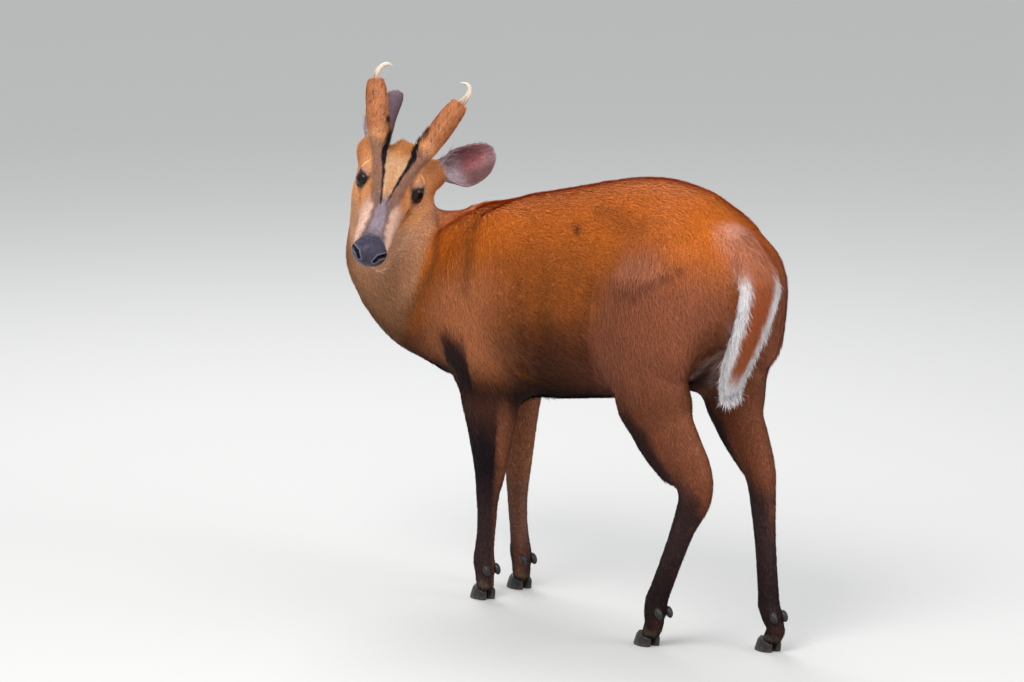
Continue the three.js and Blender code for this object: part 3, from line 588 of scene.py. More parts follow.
def open_eyes(places):
    """Head places with the two eye openings cut in and the lids raised."""
    places = places.copy()
    for side in SIDES.values():
        outside, reach = almond(places, side)
        near = (outside < LID["reach"]) & (reach < 2 * EYE_RADIUS)
        rim = EYE_RADIUS + LID["proud"] + LID["thick"] * rise(outside, 0, 3)
        lid = rim + (reach - rim) * rise(outside, 0.5, LID["reach"])
        blend = rise(outside, -LID["edge"], 0.1)
        wanted = LID["sunk"] * (1 - blend) + np.maximum(lid, EYE_RADIUS + LID["proud"]) * blend
        centre = np.array(EYE_CENTRE) * (1, side, 1)
        fixed = centre + (places - centre) * (wanted / np.maximum(reach, 1e-6))[:, None]
        places[near] = fixed[near]
    return places


print("eye opening", 2 * LID["half"], "by", LID["upper"] + LID["lower"], "millimetres")


# %% Lines pressed into the skin
def pressed(places, normals, line, width, depth):
    """Places pushed in along their normals near a line, or out where the depth is below zero."""
    away = away_from(sided(places), line)
    return places - normals * (depth * np.exp(-((away / width) ** 2)))[:, None]


def head_normals(mesh):
    return normals_of(mesh) @ HEAD_AXES.T


def from_head(places):
    return eyes_middle + places @ HEAD_AXES * MM


def skin_tree():
    mesh = skin.data
    return BVHTree.FromPolygons([v.co for v in mesh.vertices], [p.vertices for p in mesh.polygons])


LINE_STEPS = 5


def laid_on(line, tree):
    """A head line cut into shorter stretches, each end of them on the skin."""
    points = [np.array(line[-1], float)]
    for start, end in zip(line[:-1], line[1:]):
        start, end = np.array(start, float), np.array(end, float)
        points += [start + (end - start) * n / LINE_STEPS for n in range(LINE_STEPS)]
    points = points[1:] + points[:1]
    world_points = from_head(np.array(points))
    return in_head(np.array([tree.find_nearest(Vector(p))[0] for p in world_points]))


def lay_lines(lines):
    """The head's lines, laid on the skin as it is now."""
    tree = skin_tree()
    return [laid_on(line, tree) for line in lines]


# %% Round the nose, then press the lines in and open the eyes
NOSE = {"centre": (96, 0, -43), "radii": (21, 24, 19), "from": 84, "to": 98, "start": 60, "round": 0.85}
first_laid = lay_lines((V_LINE, TEAR_SLIT, NOSTRIL, MOUTH, LIP_FOLD, CHEEK_FOLD))
places = in_head(positions_of(skin.data))
swell = rise(places[:, 0], NOSE["from"], NOSE["to"]) * near_nose(places, NOSE["start"])
away = (places - NOSE["centre"]) / NOSE["radii"]
ball = places + (away / np.maximum(np.linalg.norm(away, axis=1), 1e-6)[:, None] - away) * NOSE["radii"]
places += (ball - places) * (NOSE["round"] * swell)[:, None]
set_positions(skin.data, from_head(places))
V_LINE, TEAR_SLIT, NOSTRIL, MOUTH, LIP_FOLD, CHEEK_FOLD = lay_lines(first_laid)
PRESSES = [
    (V_LINE, 1.6, 1.3),
    (CHEEK_FOLD, 4.0, 1.0),
    (TEAR_SLIT, 1.5, 3.0),
    (NOSTRIL, 5.0, -1.2),
    (NOSTRIL, 2.1, 5.0),
    (MOUTH, 3.4, -0.7),
    (MOUTH, 1.2, 2.4),
    (LIP_FOLD, 1.1, 1.0),
]
for line, width, depth in PRESSES:
    places = pressed(in_head(positions_of(skin.data)), head_normals(skin.data), line, width, depth)
    set_positions(skin.data, from_head(places))
set_positions(skin.data, from_head(open_eyes(in_head(positions_of(skin.data)))))
skin_part = parts_at(positions_of(skin.data))
print("face modelled")

# %% [markdown]
# ## Folds on the body
# A turned neck lays a soft fold against the shoulder, and the flank hangs in faint upright folds behind the
# elbow. Their places are read off the photo: a ray from the camera through a pixel meets the skin there.
# The far side has no pixel of its own, so each line is mirrored onto it where it makes sense.

# %% Where a pixel of the photo meets the skin
PHOTO_SIZE = (1024, 682)
tree = skin_tree()


def way_through(pixel):
    """The way from the camera through a pixel of the photo, one unit deep."""
    unit_size = camera_data.sensor_width / camera_data.lens / PHOTO_SIZE[0]
    aside, above = (pixel[0] - PHOTO_SIZE[0] / 2) * unit_size, (PHOTO_SIZE[1] / 2 - pixel[1]) * unit_size
    return camera.rotation_euler.to_matrix() @ Vector((aside, above, -1))


def seen_at(pixels):
    """The places on the skin behind some pixels of the photo."""
    hits = [tree.ray_cast(camera.location, way_through(pixel).normalized())[0] for pixel in pixels]
    return np.array([hit for hit in hits if hit is not None])


def mirrored(places):
    """The same places on the animal's other side."""
    return places * (-1, 1, 1) + (2 * body_origin[0], 0, 0)


# %% Fold lines
NECK_FOLD = {
    "pixels": [(438, 216), (439, 226), (436, 249), (428, 272), (418, 292), (405, 320)],
    "width": 6,
    "depth": 2.2,
}
NAPE = {
    "pixels": [(448, 210), (468, 207), (490, 203)],
    "from": 26,
    "to": 66,
    "depth": -9,
    "rounds": (260, 50),
}
FLANK_FOLDS = [
    ([(472, 226), (468, 250), (465, 290)], 9, 1.6),
    ([(516, 282), (518, 316), (523, 346), (526, 378)], 7, 3.2),
    ([(542, 286), (545, 326), (552, 350)], 8, 1.5),
    ([(592, 282), (584, 312), (583, 340), (590, 372)], 8, 3.2),
    ([(497, 325), (508, 345), (518, 372)], 8, -2.0),
]
neck_fold = seen_at(NECK_FOLD["pixels"])
flank_folds = [(seen_at(pixels), width, depth) for pixels, width, depth in FLANK_FOLDS]


def press_body(line, width, depth):
    places = positions_of(skin.data)
    away = away_from(places, line) / MM
    places -= normals_of(skin.data) * (depth * MM * np.exp(-((away / width) ** 2)))[:, None]
    set_positions(skin.data, places)


nape = seen_at(NAPE["pixels"])
nape_gap = away_from(positions_of(skin.data), nape) / MM
nape_share = np.round(1 - rise(nape_gap, NAPE["from"], NAPE["to"]), 2)
smooth(skin, NAPE["rounds"][0], nape_share)
press_body(nape, NAPE["from"], NAPE["depth"])
smooth(skin, NAPE["rounds"][1], nape_share)
press_body(neck_fold, NECK_FOLD["width"], NECK_FOLD["depth"])
for line, width, depth in flank_folds:
    press_body(line, width, depth)
    press_body(mirrored(line), width, depth)
tree = skin_tree()
print("folds pressed in")

# %% [markdown]
# ## Markings, with painted shade and light
# The coat's colours are functions of a place on the animal: how high it is on the trunk, how far along the
# head, how near a line that the photo shows. Some are painted shade and light: darker low on the trunk and
# neck, in the folds, at the elbow and round the eyes, paler on the swellings and the rump, lighter on the
# right foreleg and the cheeks, with a sheen round the nostrils. The same colours go to the skin and to the
# hair that grows on it, so the two always agree. They are stored as one colour at each corner of the skin,
# because bands mixed in a shader would follow each tuft's own place and not its root's.

# %% Helpers for colours
def shade(red, green, blue):
    """A colour as a screen gives it, 0 to 255, as the light that a shader works with."""
    values = np.array([red, green, blue]) / 255
    return np.where(values <= 0.04045, values / 12.92, ((values + 0.055) / 1.055) ** 2.4)


def band(values, low, high, soft):
    """1 between two limits, 0 beyond them, soft at both ends."""
    return rise(values, low - soft, low + soft) * (1 - rise(values, high - soft, high + soft))


def ripple(places, size):
    """An uneven value between -1 and 1, in humps about `size` millimetres wide."""
    x, y, z = (places * (math.pi / (size * MM))).T
    first = np.sin(x + 1.7 * np.sin(0.9 * y + 0.5))
    second = np.sin(1.1 * y + 1.3 * np.sin(z + 1.1))
    third = np.sin(0.95 * z + 1.5 * np.sin(1.05 * x + 2.3))
    return (first + second + third) / 3


def paint(colours, colour, weight):
    """Lays a colour over the others, as much as the weight says."""
    weight = np.clip(weight, 0, 1)[:, None]
    return colours * (1 - weight) + np.asarray(colour) * weight


def palette(**colours):
    """A table of colours, each given as a screen shows it."""
    return {name: shade(*values) for name, values in colours.items()}


def layered(colours, table, layers):
    """Lays colours of a table over each other: pairs of a name and how much of it each corner gets."""
    for name, weight in layers:
        colours = paint(colours, table[name], weight)
    return colours


# %% How much of each part a corner belongs to
def share_of(prefix, rounds):
    """1 on the parts whose names start so, 0 elsewhere, evened out over the skin."""
    numbers = [n for n, name in enumerate(flesh_names) if name.startswith(prefix)]
    return even_out(np.isin(skin_part, numbers).astype(float), skin_ends, rounds)


skin_ends = edge_ends(skin.data)
skin_places = positions_of(skin.data)
skin_normals = normals_of(skin.data)
on_head = share_of("head", 4)
on_pedicle = share_of("pedicle", 6)
on_ear = {side: share_of(f"ear_{side}", 3) for side in SIDES}
on_tail = share_of("tail", 3)
on_thigh = share_of("thigh", 16)
on_shoulder = share_of("shoulder", 16)


def plain(colour):
    return np.tile(colour, (len(skin_places), 1))


def near_line(line, radius, soft, wobble=0.0):
    """1 near a line on the skin and 0 away from it, with an uneven edge."""
    away = away_from(skin_places, line) / MM + wobble * ripple(skin_places, 9)
    return 1 - rise(away, radius - soft, radius + soft)


print("parts shared out over", len(skin_places), "corners")

# %% Trunk and neck
BACK = [(-560, 540), (-445, 547), (-395, 583), (-330, 590), (-255, 578), (-175, 560), (-95, 542), (-25, 526),
        (40, 508), (92, 446), (200, 420)]
BELLY = 300
TRUNK = palette(
    back=(206, 108, 34),
    side=(164, 88, 34),
    low=(84, 43, 22),
    belly=(34, 17, 14),
    thigh=(156, 92, 66),
    shoulder=(196, 120, 78),
    neck_fold=(104, 66, 38),
)
# Painted shade: the trunk darkens downwards to a near black belly, partly the coat's own colour and partly the
# shade under the body.
TRUNK_ZONES = [("low", -0.05, 0.12, 0.05), ("side", 0.2, 0.5, 0.05), ("back", 0.5, 0.9, 0.06)]
NECK = palette(middle=(186, 132, 96), low=(122, 78, 50), high=(208, 146, 110))
forward, left, up = in_body(skin_places).T
back_line = np.interp(forward, [p[0] for p in BACK], [p[1] for p in BACK])
height = (up - BELLY) / (back_line - BELLY)
uneven = ripple(skin_places, 34)
zones = [(zone, rise(height + waves * uneven, low, high)) for zone, low, high, waves in TRUNK_ZONES]
coat = layered(plain(TRUNK["belly"]), TRUNK, zones + [
    ("thigh", on_thigh * (1 - rise(height, 0.6, 1.0)) * 0.9),
    ("shoulder", on_shoulder * band(height, 0.06, 0.62, 0.14) * 0.85),
])

neck_way = one_long(np.cross(np.array(back), neck_fold[0] - neck_fold[-1]))
past_fold = (skin_places - neck_fold[-1]) @ neck_way / MM
over_fold = rise(past_fold, -5, 6) * rise(forward, 20, 60)
# The neck darkens low down towards the chest: partly its own colour, partly painted shade.
tan = layered(plain(NECK["middle"]), NECK, [("low", 1 - rise(up, 320, 430)), ("high", rise(up, 430, 520))])
coat = paint(coat, tan, over_fold)
# Painted shade: darker brown along the neck fold.
coat = paint(coat, TRUNK["neck_fold"], near_line(neck_fold, 6, 5) * 0.6)
print("trunk and neck painted")

# %% [markdown]
# Each mark has its pixels in the photo, its colour, the radius, softness and unevenness of its edge in
# millimetres, its strength, and whether the other side has it too.

# %% Marks that the photo shows on the left side, with the plainer ones mirrored
MARKS = {
    # Painted shade on the back.
    "painted_shade_on_back": ([(600, 210), (618, 222), (640, 230)], (128, 62, 26), 14, 12, 5, 0.4, False),
    "thigh_patch": ([(622, 268), (640, 264), (655, 272)], (196, 124, 92), 15, 11, 7, 0.6, False),
    "thigh_patch_edge": (
        [(613, 284), (622, 290), (634, 293), (645, 286), (655, 279), (668, 274), (680, 268)],
        (96, 50, 36), 3.5, 2.5, 3, 0.75, False,
    ),
    # Painted highlight on the rump, on both sides.
    "painted_highlight_on_rump": ([(738, 232), (750, 250), (764, 274)], (232, 168, 146), 22, 20, 6, 0.6, True),
    "spot_on_shoulder": ([(491, 283)], (60, 34, 30), 4.4, 1.6, 1, 0.85, False),
    "spot_on_flank": ([(572, 226), (577, 229)], (60, 34, 30), 4.4, 1.6, 1, 0.85, False),
    "spot_on_thigh": ([(625, 397)], (60, 34, 30), 4.4, 1.6, 1, 0.85, False),
    "pale_inner_thigh": (
        [(733, 320), (727, 340), (716, 362), (707, 384)],
        (206, 182, 172), 6, 5, 2, 0.45, True,
    ),
}
# Painted shade in the flank's hollows and painted light on its swellings, both sides alike.
FOLD = palette(hollow=(96, 50, 26), swelling=(190, 112, 60))
for line, width, depth in flank_folds:
    tone = FOLD["hollow"] if depth > 0 else FOLD["swelling"]
    for each in (line, mirrored(line)):
        coat = paint(coat, tone, near_line(each, width, width) * 0.42)
for pixels, colour, radius, soft, wobble, strength, both in MARKS.values():
    line = seen_at(pixels)
    for each in (line, mirrored(line)) if both else (line,):
        coat = paint(coat, shade(*colour), near_line(each, radius, soft, wobble) * strength)
print(len(MARKS), "marks painted")

# %% Legs
LEG = palette(
    cannon=(58, 40, 40),
    edge=(140, 84, 58),
    shin=(34, 21, 22),
    hind=(128, 72, 48),
    elbow=(24, 16, 22),
    sole=(34, 26, 26),
    coronet=(150, 124, 92),
)
# Painted light: the right foreleg gets lighter copies of the leg's colours, as lit, and the left one the
# darker ones.
FORELEG = {
    "left": palette(front=(24, 16, 22), rear=(140, 84, 58), cannon=(58, 40, 40)),
    "right": palette(front=(168, 108, 78), rear=(182, 118, 84), cannon=(128, 88, 72)),
}
LEG_AXES = {
    ("fore", "left"): [(-30, 57, 266), (-10, 50, 160), (0, 46, 90), (0, 46, 0)],
    ("fore", "right"): [(48, -46, 262), (38, -38, 160), (24, -32, 90), (24, -32, 0)],
    ("hind", "left"): [(-385, 64, 312), (-424, 60, 256), (-458, 57, 205), (-410, 54, 120), (-360, 52, 40)],
    ("hind", "right"): [
        (-385, -59, 312), (-424, -54, 256), (-455, -49, 205), (-465, -48, 120), (-472, -48, 40),
    ],
}
LEG_NODES = {"fore": ("forearm", "cannon_fore"), "hind": ("shank", "cannon_hind")}
ELBOW_DARK = [(450, 350), (466, 368), (484, 384), (496, 408)]


# %% Paint the legs
def at_height(line, column):
    """A column of a line that runs downwards, at each corner's height."""
    rows = np.array(line, float)[::-1]
    return np.interp(up, rows[:, 2], rows[:, column])


def paint_foreleg(colours, side, here, ahead, outward, edge):
    """Rust at the inner rear edge, and darker in front and towards the foot. The right leg's colours are all
    lighter: painted light.
    """
    to_front = 0.62 * ahead + 0.79 * outward
    below = (1 - rise(up, 130, 175)) * (side == "left")
    colours = layered(colours, FORELEG[side], [
        ("rear", here),
        ("front", here * np.maximum(rise(to_front + edge, -19, -9), below)),
        ("cannon", here * (1 - rise(up + edge, 110, 190))),
    ])
    return layered(colours, LEG, [
        ("cannon", here * (1 - rise(up + edge, 40, 90))),
        ("edge", here * rise(-to_front, 9, 16) * 0.5),
    ])


def paint_hind_leg(colours, here, ahead, edge):
    """Brown with a dark front, and all dark below the hock."""
    thigh_end = rise(up + edge, 190, 262)
    return layered(colours, LEG, [
        ("hind", here),
        ("shin", here * rise(ahead + edge, 8, 24) * 0.9),
        ("cannon", here * (1 - thigh_end) * rise(ahead + 8 + edge, -18, -4)),
        ("edge", here * thigh_end * rise(-ahead + edge, 8, 18) * 0.5),
        ("shin", here * (1 - rise(up + edge, 70, 150)) * 0.85),
    ])


edge = 7 * ripple(skin_places, 16)
for (end, side), axis in LEG_AXES.items():
    ahead = forward - at_height(axis, 0)
    outward = SIDES[side] * (left - at_height(axis, 1))
    here = np.clip(sum(share_of(f"{name}_{side}", 12) for name in LEG_NODES[end]), 0, 1)
    if end == "fore":
        coat = paint_foreleg(coat, side, here, ahead, outward, edge)
    else:
        coat = paint_hind_leg(coat, here, ahead, edge)
coat = layered(coat, LEG, [
    # Partly the leg's dark hair, partly painted shade where the foreleg meets the chest.
    ("elbow", near_line(seen_at(ELBOW_DARK), 27, 12, 9) * (forward > -30) * 0.95),
    ("sole", (1 - rise(up, 16, 26)) * 0.9),
    ("coronet", band(up, 17, 22, 3) * 0.35),
])
print("legs painted")

# %% Tail
TAIL = [(-462, 2, 530, 18), (-493, 2, 508, 25), (-512, 3, 481, 31), (-517, 12, 450, 30), (-512, 20, 417, 27),
        (-498, 26, 380, 23), (-484, 25, 345, 13)]
TAIL_COLOURS = palette(chestnut=(168, 88, 50), root=(206, 132, 100), white=(236, 230, 232))
tail_aside = (left - at_height(TAIL, 1)) / at_height(TAIL, 3)
stripe_place = np.abs(tail_aside) + 0.16 * (tail_aside < 0)
stripe = rise(stripe_place + 0.08 * ripple(skin_places, 8), 0.56, 0.7) * (1 - rise(up, 478, 505))
under = rise(forward - at_height(TAIL, 0), 2, 6) * (1 - rise(up, 490, 515))
tip = 1 - rise(up, 352, 378)
white_parts = np.maximum(stripe, tip)
coat = layered(coat, TAIL_COLOURS, [
    ("chestnut", on_tail),
    ("root", on_tail * rise(up, 470, 520) * 0.75),
    ("white", on_tail * np.maximum(white_parts, under)),
])
print("tail painted")

# %% Head
FACE = palette(
    base=(220, 146, 90),
    cheek=(250, 176, 118),
    cheek_fold=(172, 104, 58),
    jaw=(222, 168, 132),
    bridge=(150, 134, 146),
    bridge_edge=(92, 76, 80),
    muzzle=(234, 192, 172),
    ridge=(136, 102, 90),
    forehead=(218, 172, 132),
    crown=(212, 134, 66),
    black=(26, 20, 28),
    nose=(58, 54, 70),
    nostril=(10, 8, 11),
    lip=(60, 50, 58),
    chin=(226, 210, 184),
    lid=(44, 34, 38),
    ring=(176, 140, 136),
    rim=(132, 130, 156),
)
RIDGE = [(50, 11, 9), (20, 19, 24), (-10, 28, 40), (-30, 37, 56)]
BRIDGE_HALF = ([10, 45, 70, 95, 112], [9, 12, 13, 16, 20])
BLACK_HALF = ([-60, -30, -12, 6, 30, 56], [7.0, 7.0, 5.0, 2.2, 1.7, 1.2])
EYE_AREA = 20
head_places = in_head(skin_places)
x, y, z = head_places.T
folded = sided(head_places)
aside = folded[:, 1]
blotch = ripple(skin_places, 7)


def on_line(line, low, high, waves=0.0):
    """1 on a line of the head and 0 away from it, with an uneven edge."""
    return 1 - rise(away_from(folded, line) + waves * blotch, low, high)


print("head from", round(x.min()), "to", round(x.max()), "millimetres ahead of the eyes")

# %% Paint the head
bridge = rise(x, 30, 52) * rise(z, -36, -20)
bridge_half = np.interp(x, *BRIDGE_HALF)
black_half = np.interp(x, *BLACK_HALF)
waved = aside + 2 * blotch
v_order = np.argsort(V_LINE[:, 0])
v_aside = np.interp(x, V_LINE[v_order, 0], V_LINE[v_order, 1])
between = (1 - rise(aside, v_aside - 2, v_aside + 1)) * rise(z, 0, 8) * (1 - rise(x, 38, 52))
eye_reach = np.linalg.norm(folded - EYE_CENTRE, axis=1)
lid_gap = np.minimum(*[almond(head_places, sign)[0] for sign in SIDES.values()])
pad_front = x + 0.25 * (z - NOSE["centre"][2]) + 0.6 * blotch
nose_pad = rise(pad_front, 96.5, 100) * rise(z, -60, -58) * (1 - rise(aside, 25, 27))
alar = away_from(folded, NOSTRIL)
mouth_gap = away_from(folded, MOUTH)
face = layered(plain(FACE["base"]), FACE, [
    # The cheeks: partly their own orange, partly painted light that makes up for the shade they lie in.
    ("cheek", band(x, -30, 60, 14) * rise(aside, 22, 32)),
    ("jaw", (1 - rise(z, -52, -34)) * (1 - rise(x, 70, 90) * 0.4)),
    # Painted shade: darker along the fold of the cheek.
    ("cheek_fold", on_line(CHEEK_FOLD, 3, 8) * 0.6),
    ("muzzle", rise(x, 34, 58) * rise(aside, 8, 14) * rise(z, -60, -48)),
    ("bridge_edge", bridge * (1 - rise(waved, bridge_half - 5, bridge_half + 4)) * 0.9),
    ("bridge", bridge * (1 - rise(waved, bridge_half - 9, bridge_half - 2)) * 0.9),
    ("bridge_edge", rise(x, 86, 98) * (1 - rise(aside, 14, 22)) * rise(z, -40, -22) * 0.7),
    ("ridge", on_line(RIDGE, 5, 12, 1.5) * 0.85),
    ("forehead", between),
    ("crown", between * (1 - rise(x + 4 * blotch, -34, 4)) * 0.85),
    ("crown", between * (1 - rise(waved, 1, 6)) * rise(x, -10, 14) * 0.4),
    ("crown", (1 - rise(x, -58, -40)) * 0.6),
    ("ring", (1 - rise(eye_reach, 16, 21)) * 0.6),
    # Dark lids: partly their dark skin, partly painted shade round the eye.
    ("lid", (1 - rise(lid_gap, 1.2, 3.4)) * (eye_reach < EYE_AREA)),
    ("black", on_line(V_LINE, black_half - 0.6, black_half + 0.9, 0.6)),
    ("black", on_line(TEAR_SLIT, 2.2, 4.0)),
    ("nose", nose_pad),
    # Painted sheen: a lilac rim round the nostrils on the dark nose.
    ("rim", (1 - rise(alar, 3.6, 5.6)) * nose_pad * 0.5),
    ("nostril", 1 - rise(alar, 2.3, 3.5)),
    ("chin", (1 - rise(z, -62, -58)) * rise(x, 62, 80)),
    ("lip", (1 - rise(mouth_gap, 2.0, 4.0)) * 0.9),
])
coat = paint(coat, face, on_head)
print("head painted")

# %% Pedicles and ears
PEDICLE = palette(base=(212, 138, 92), fleck=(92, 56, 44), black=(26, 20, 28))
PEDICLE_INNER_SIDE = [(-30, 27, 54), (-39, 32, 62)]
EAR = palette(
    back=(176, 116, 84),
    back_end=(134, 112, 122),
    inner=(160, 122, 126),
    pink=(186, 104, 106),
    dark=(112, 78, 76),
    pale=(206, 190, 200),
    rim=(226, 220, 222),
)
EAR_AXES = {
    "left": {"root": (-52, 46, -3), "along": (-0.38, 0.8, 0.46), "open": (0.8, 0.1, 0.6)},
    "right": {"root": (-52, -38, 6), "along": (-0.66, 0.17, 0.7), "open": (-0.42, -0.86, -0.3)},
}
EAR_START, EAR_LENGTH = 15, 72
flecks = rise(ripple(skin_places, 3.2) + 0.5 * ripple(skin_places, 9), 0.38, 0.6)
pedicle = layered(plain(PEDICLE["base"]), PEDICLE, [
    ("fleck", flecks * 0.8),
    ("black", on_line(PEDICLE_INNER_SIDE, 7, 10, 1.5) * 0.95),
])
coat = paint(coat, pedicle, np.maximum(on_pedicle, on_head * rise(z, 56, 66)))
ear_spots = {}
for side, sign in SIDES.items():
    ear = EAR_AXES[side]
    along = one_long(ear["along"])
    opening = square_to(ear["open"], along)
    away = head_places - ear["root"]
    share = (away @ along - EAR_START) / EAR_LENGTH
    across = away @ np.cross(along, opening)
    low_side = across * sign
    inside = rise((skin_normals @ HEAD_AXES.T) @ opening, -0.1, 0.25)
    pink = 0.75 * np.exp(-(((share - 0.52) / 0.26) ** 2) - ((low_side - 1) / 13) ** 2)
    inner = layered(plain(EAR["inner"]), EAR, [
        ("pink", pink),
        ("dark", rise(low_side, 6, 20) * rise(share, 0.2, 0.5) * 0.8),
        ("pale", (1 - rise(share + 0.05 * blotch, 0.1, 0.42)) * 0.85),
    ])
    outer = paint(plain(EAR["back"]), EAR["back_end"], rise(share, 0.1, 0.5))
    pale_rim = band(inside, 0.2, 0.75, 0.15) * rise(share, 0.25, 0.5) * 0.8
    coat = paint(coat, paint(paint(outer, inner, inside), EAR["rim"], pale_rim), on_ear[side])
    ear_spots[side] = {"along": along, "share": share, "across": across, "inside": inside}
print("pedicles and ears painted")

# %% Store the colours on the skin
def store_colours(mesh, name, colours):
    layer = mesh.color_attributes.new(name, "FLOAT_COLOR", "POINT")
    values = np.ones((len(mesh.vertices), 4), np.float32)
    values[:, :3] = colours
    layer.data.foreach_set("color", values.ravel())


def store_values(mesh, name, values):
    mesh.attributes.new(name, "FLOAT", "POINT").data.foreach_set("value", np.asarray(values, np.float32))


wet = np.clip(nose_pad + (1 - rise(alar, 2, 4)) + (1 - rise(mouth_gap, 1.5, 3)) * on_head, 0, 1)
wet = np.maximum(wet, (1 - rise(lid_gap, 0.4, 1.4)) * (eye_reach < EYE_AREA))
store_colours(skin.data, "coat", coat)
store_values(skin.data, "wet", wet)
print("colours stored")

# %% [markdown]
# ## The skin's material
# Short hair that lies flat is mostly grain: fine streaks, drawn out backwards and downwards as most of the
# coat lies, darker in their gaps and raised a little. One node group makes the streaks, for the skin and for
# the hair alike, and each material gives it its own scale.
# The nose and the rims of the lids are bare and wet, so they get a low roughness instead.

# %% Node group of the grain
STREAK_STRETCH = (1.0, 0.34, 0.5)
FINE_NOISE = {"Detail": 3, "Roughness": 0.6}
BROAD_NOISE = {"Scale": 42, "Detail": 2}
STREAK_RANGE = {"From Min": 0.3, "From Max": 0.7}
BROAD_SHARE = 0.35
DARKEST = 0.62
STREAK_HEIGHT = 0.6 * MM


def new_node(tree, kind, settings=None, values=None):
    """A node with its settings and its unlinked values filled in."""
    node = tree.nodes.new(kind)
    for name, value in (settings or {}).items():
        setattr(node, name, value)
    for name, value in (values or {}).items():
        node.inputs[name].default_value = value
    return node


def link_all(tree, *pairs):
    for source, target in pairs:
        tree.links.new(source, target)


def make_grain():
    """Colour and height of fine streaks, from a place and the coat's own colour."""
    group = bpy.data.node_groups.new("hair_grain", "ShaderNodeTree")
    for name, way, kind in (
        ("Place", "INPUT", "Vector"),
        ("Coat", "INPUT", "Color"),
        ("Fineness", "INPUT", "Float"),
        ("Depth", "INPUT", "Float"),
        ("Colour", "OUTPUT", "Color"),
        ("Height", "OUTPUT", "Float"),
    ):
        group.interface.new_socket(name, in_out=way, socket_type=f"NodeSocket{kind}")
    start = new_node(group, "NodeGroupInput")
    result = new_node(group, "NodeGroupOutput")
    stretch = new_node(group, "ShaderNodeVectorMath", {"operation": "MULTIPLY"}, {1: STREAK_STRETCH})
    fine = new_node(group, "ShaderNodeTexNoise", values=FINE_NOISE)
    broad = new_node(group, "ShaderNodeTexNoise", values=BROAD_NOISE)
    spread = new_node(group, "ShaderNodeMapRange", values=STREAK_RANGE)
    both = new_node(group, "ShaderNodeMath", {"operation": "MULTIPLY_ADD"}, {1: BROAD_SHARE})
    gain = new_node(group, "ShaderNodeMath", {"operation": "MULTIPLY_ADD"}, {2: DARKEST})
    tint = new_node(group, "ShaderNodeMix", {"data_type": "RGBA", "blend_type": "MULTIPLY"}, {"Factor": 1})
    link_all(
        group,
        (start.outputs["Place"], stretch.inputs[0]),
        (stretch.outputs[0], fine.inputs["Vector"]),
        (start.outputs["Fineness"], fine.inputs["Scale"]),
        (start.outputs["Place"], broad.inputs["Vector"]),
        (fine.outputs["Fac"], spread.inputs["Value"]),
        (broad.outputs["Fac"], both.inputs[0]),
        (spread.outputs["Result"], both.inputs[2]),
        (both.outputs[0], gain.inputs[0]),
        (start.outputs["Depth"], gain.inputs[1]),
        (start.outputs["Coat"], tint.inputs["A"]),
        (gain.outputs[0], tint.inputs["B"]),
        (tint.outputs["Result"], result.inputs["Colour"]),
        (spread.outputs["Result"], result.inputs["Height"]),
    )
    return group


grain = make_grain()


def grained(name, fineness, depth, bump, roughness, specular):
    """A material that takes its colour from the `coat` attribute, streaked by the grain."""
    material = new_material(name, roughness)
    tree = material.node_tree
    shader = tree.nodes["Principled BSDF"]
    shader.inputs["Specular IOR Level"].default_value = specular
    place = new_node(tree, "ShaderNodeTexCoord")
    colour = new_node(tree, "ShaderNodeAttribute", {"attribute_name": "coat"})
    streaks = new_node(tree, "ShaderNodeGroup", {"node_tree": grain}, {"Fineness": fineness, "Depth": depth})
    raised = new_node(tree, "ShaderNodeBump", values={"Strength": bump, "Distance": STREAK_HEIGHT})
    link_all(
        tree,
        (place.outputs["Object"], streaks.inputs["Place"]),
        (colour.outputs["Color"], streaks.inputs["Coat"]),
        (streaks.outputs["Colour"], shader.inputs["Base Color"]),
        (streaks.outputs["Height"], raised.inputs["Height"]),
        (raised.outputs["Normal"], shader.inputs["Normal"]),
    )
    return material


def settle(piece, material, replaced=()):
    """Gives a piece its material, its body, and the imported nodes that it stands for."""
    piece.data.materials.clear()
    piece.data.materials.append(material)
    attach(piece, "root")
    if replaced:
        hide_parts(*replaced)
    print(piece.name, len(piece.data.polygons), "faces")


# %% Material of the skin
DRY_TO_WET = {"To Min": 0.62, "To Max": 0.26}
skin_material = grained("skin_and_underfur", fineness=620, depth=0.5, bump=0.55, roughness=0.6, specular=0.12)
skin_nodes = skin_material.node_tree
moist = new_node(skin_nodes, "ShaderNodeAttribute", {"attribute_name": "wet"})
gloss = new_node(skin_nodes, "ShaderNodeMapRange", values=DRY_TO_WET)
link_all(
    skin_nodes,
    (moist.outputs["Fac"], gloss.inputs["Value"]),
    (gloss.outputs["Result"], skin_nodes.nodes["Principled BSDF"].inputs["Roughness"]),
)
skin.data.shade_smooth()
settle(skin, skin_material, FLESH)

# %% [markdown]
# ## An unwrap of the skin
# Each tuft needs its own small patch of a picture, so that the hair's colours can be baked for other programs.
# The skin is unwrapped by its own shape, and every tuft later gets a patch at its root's place on that unwrap.

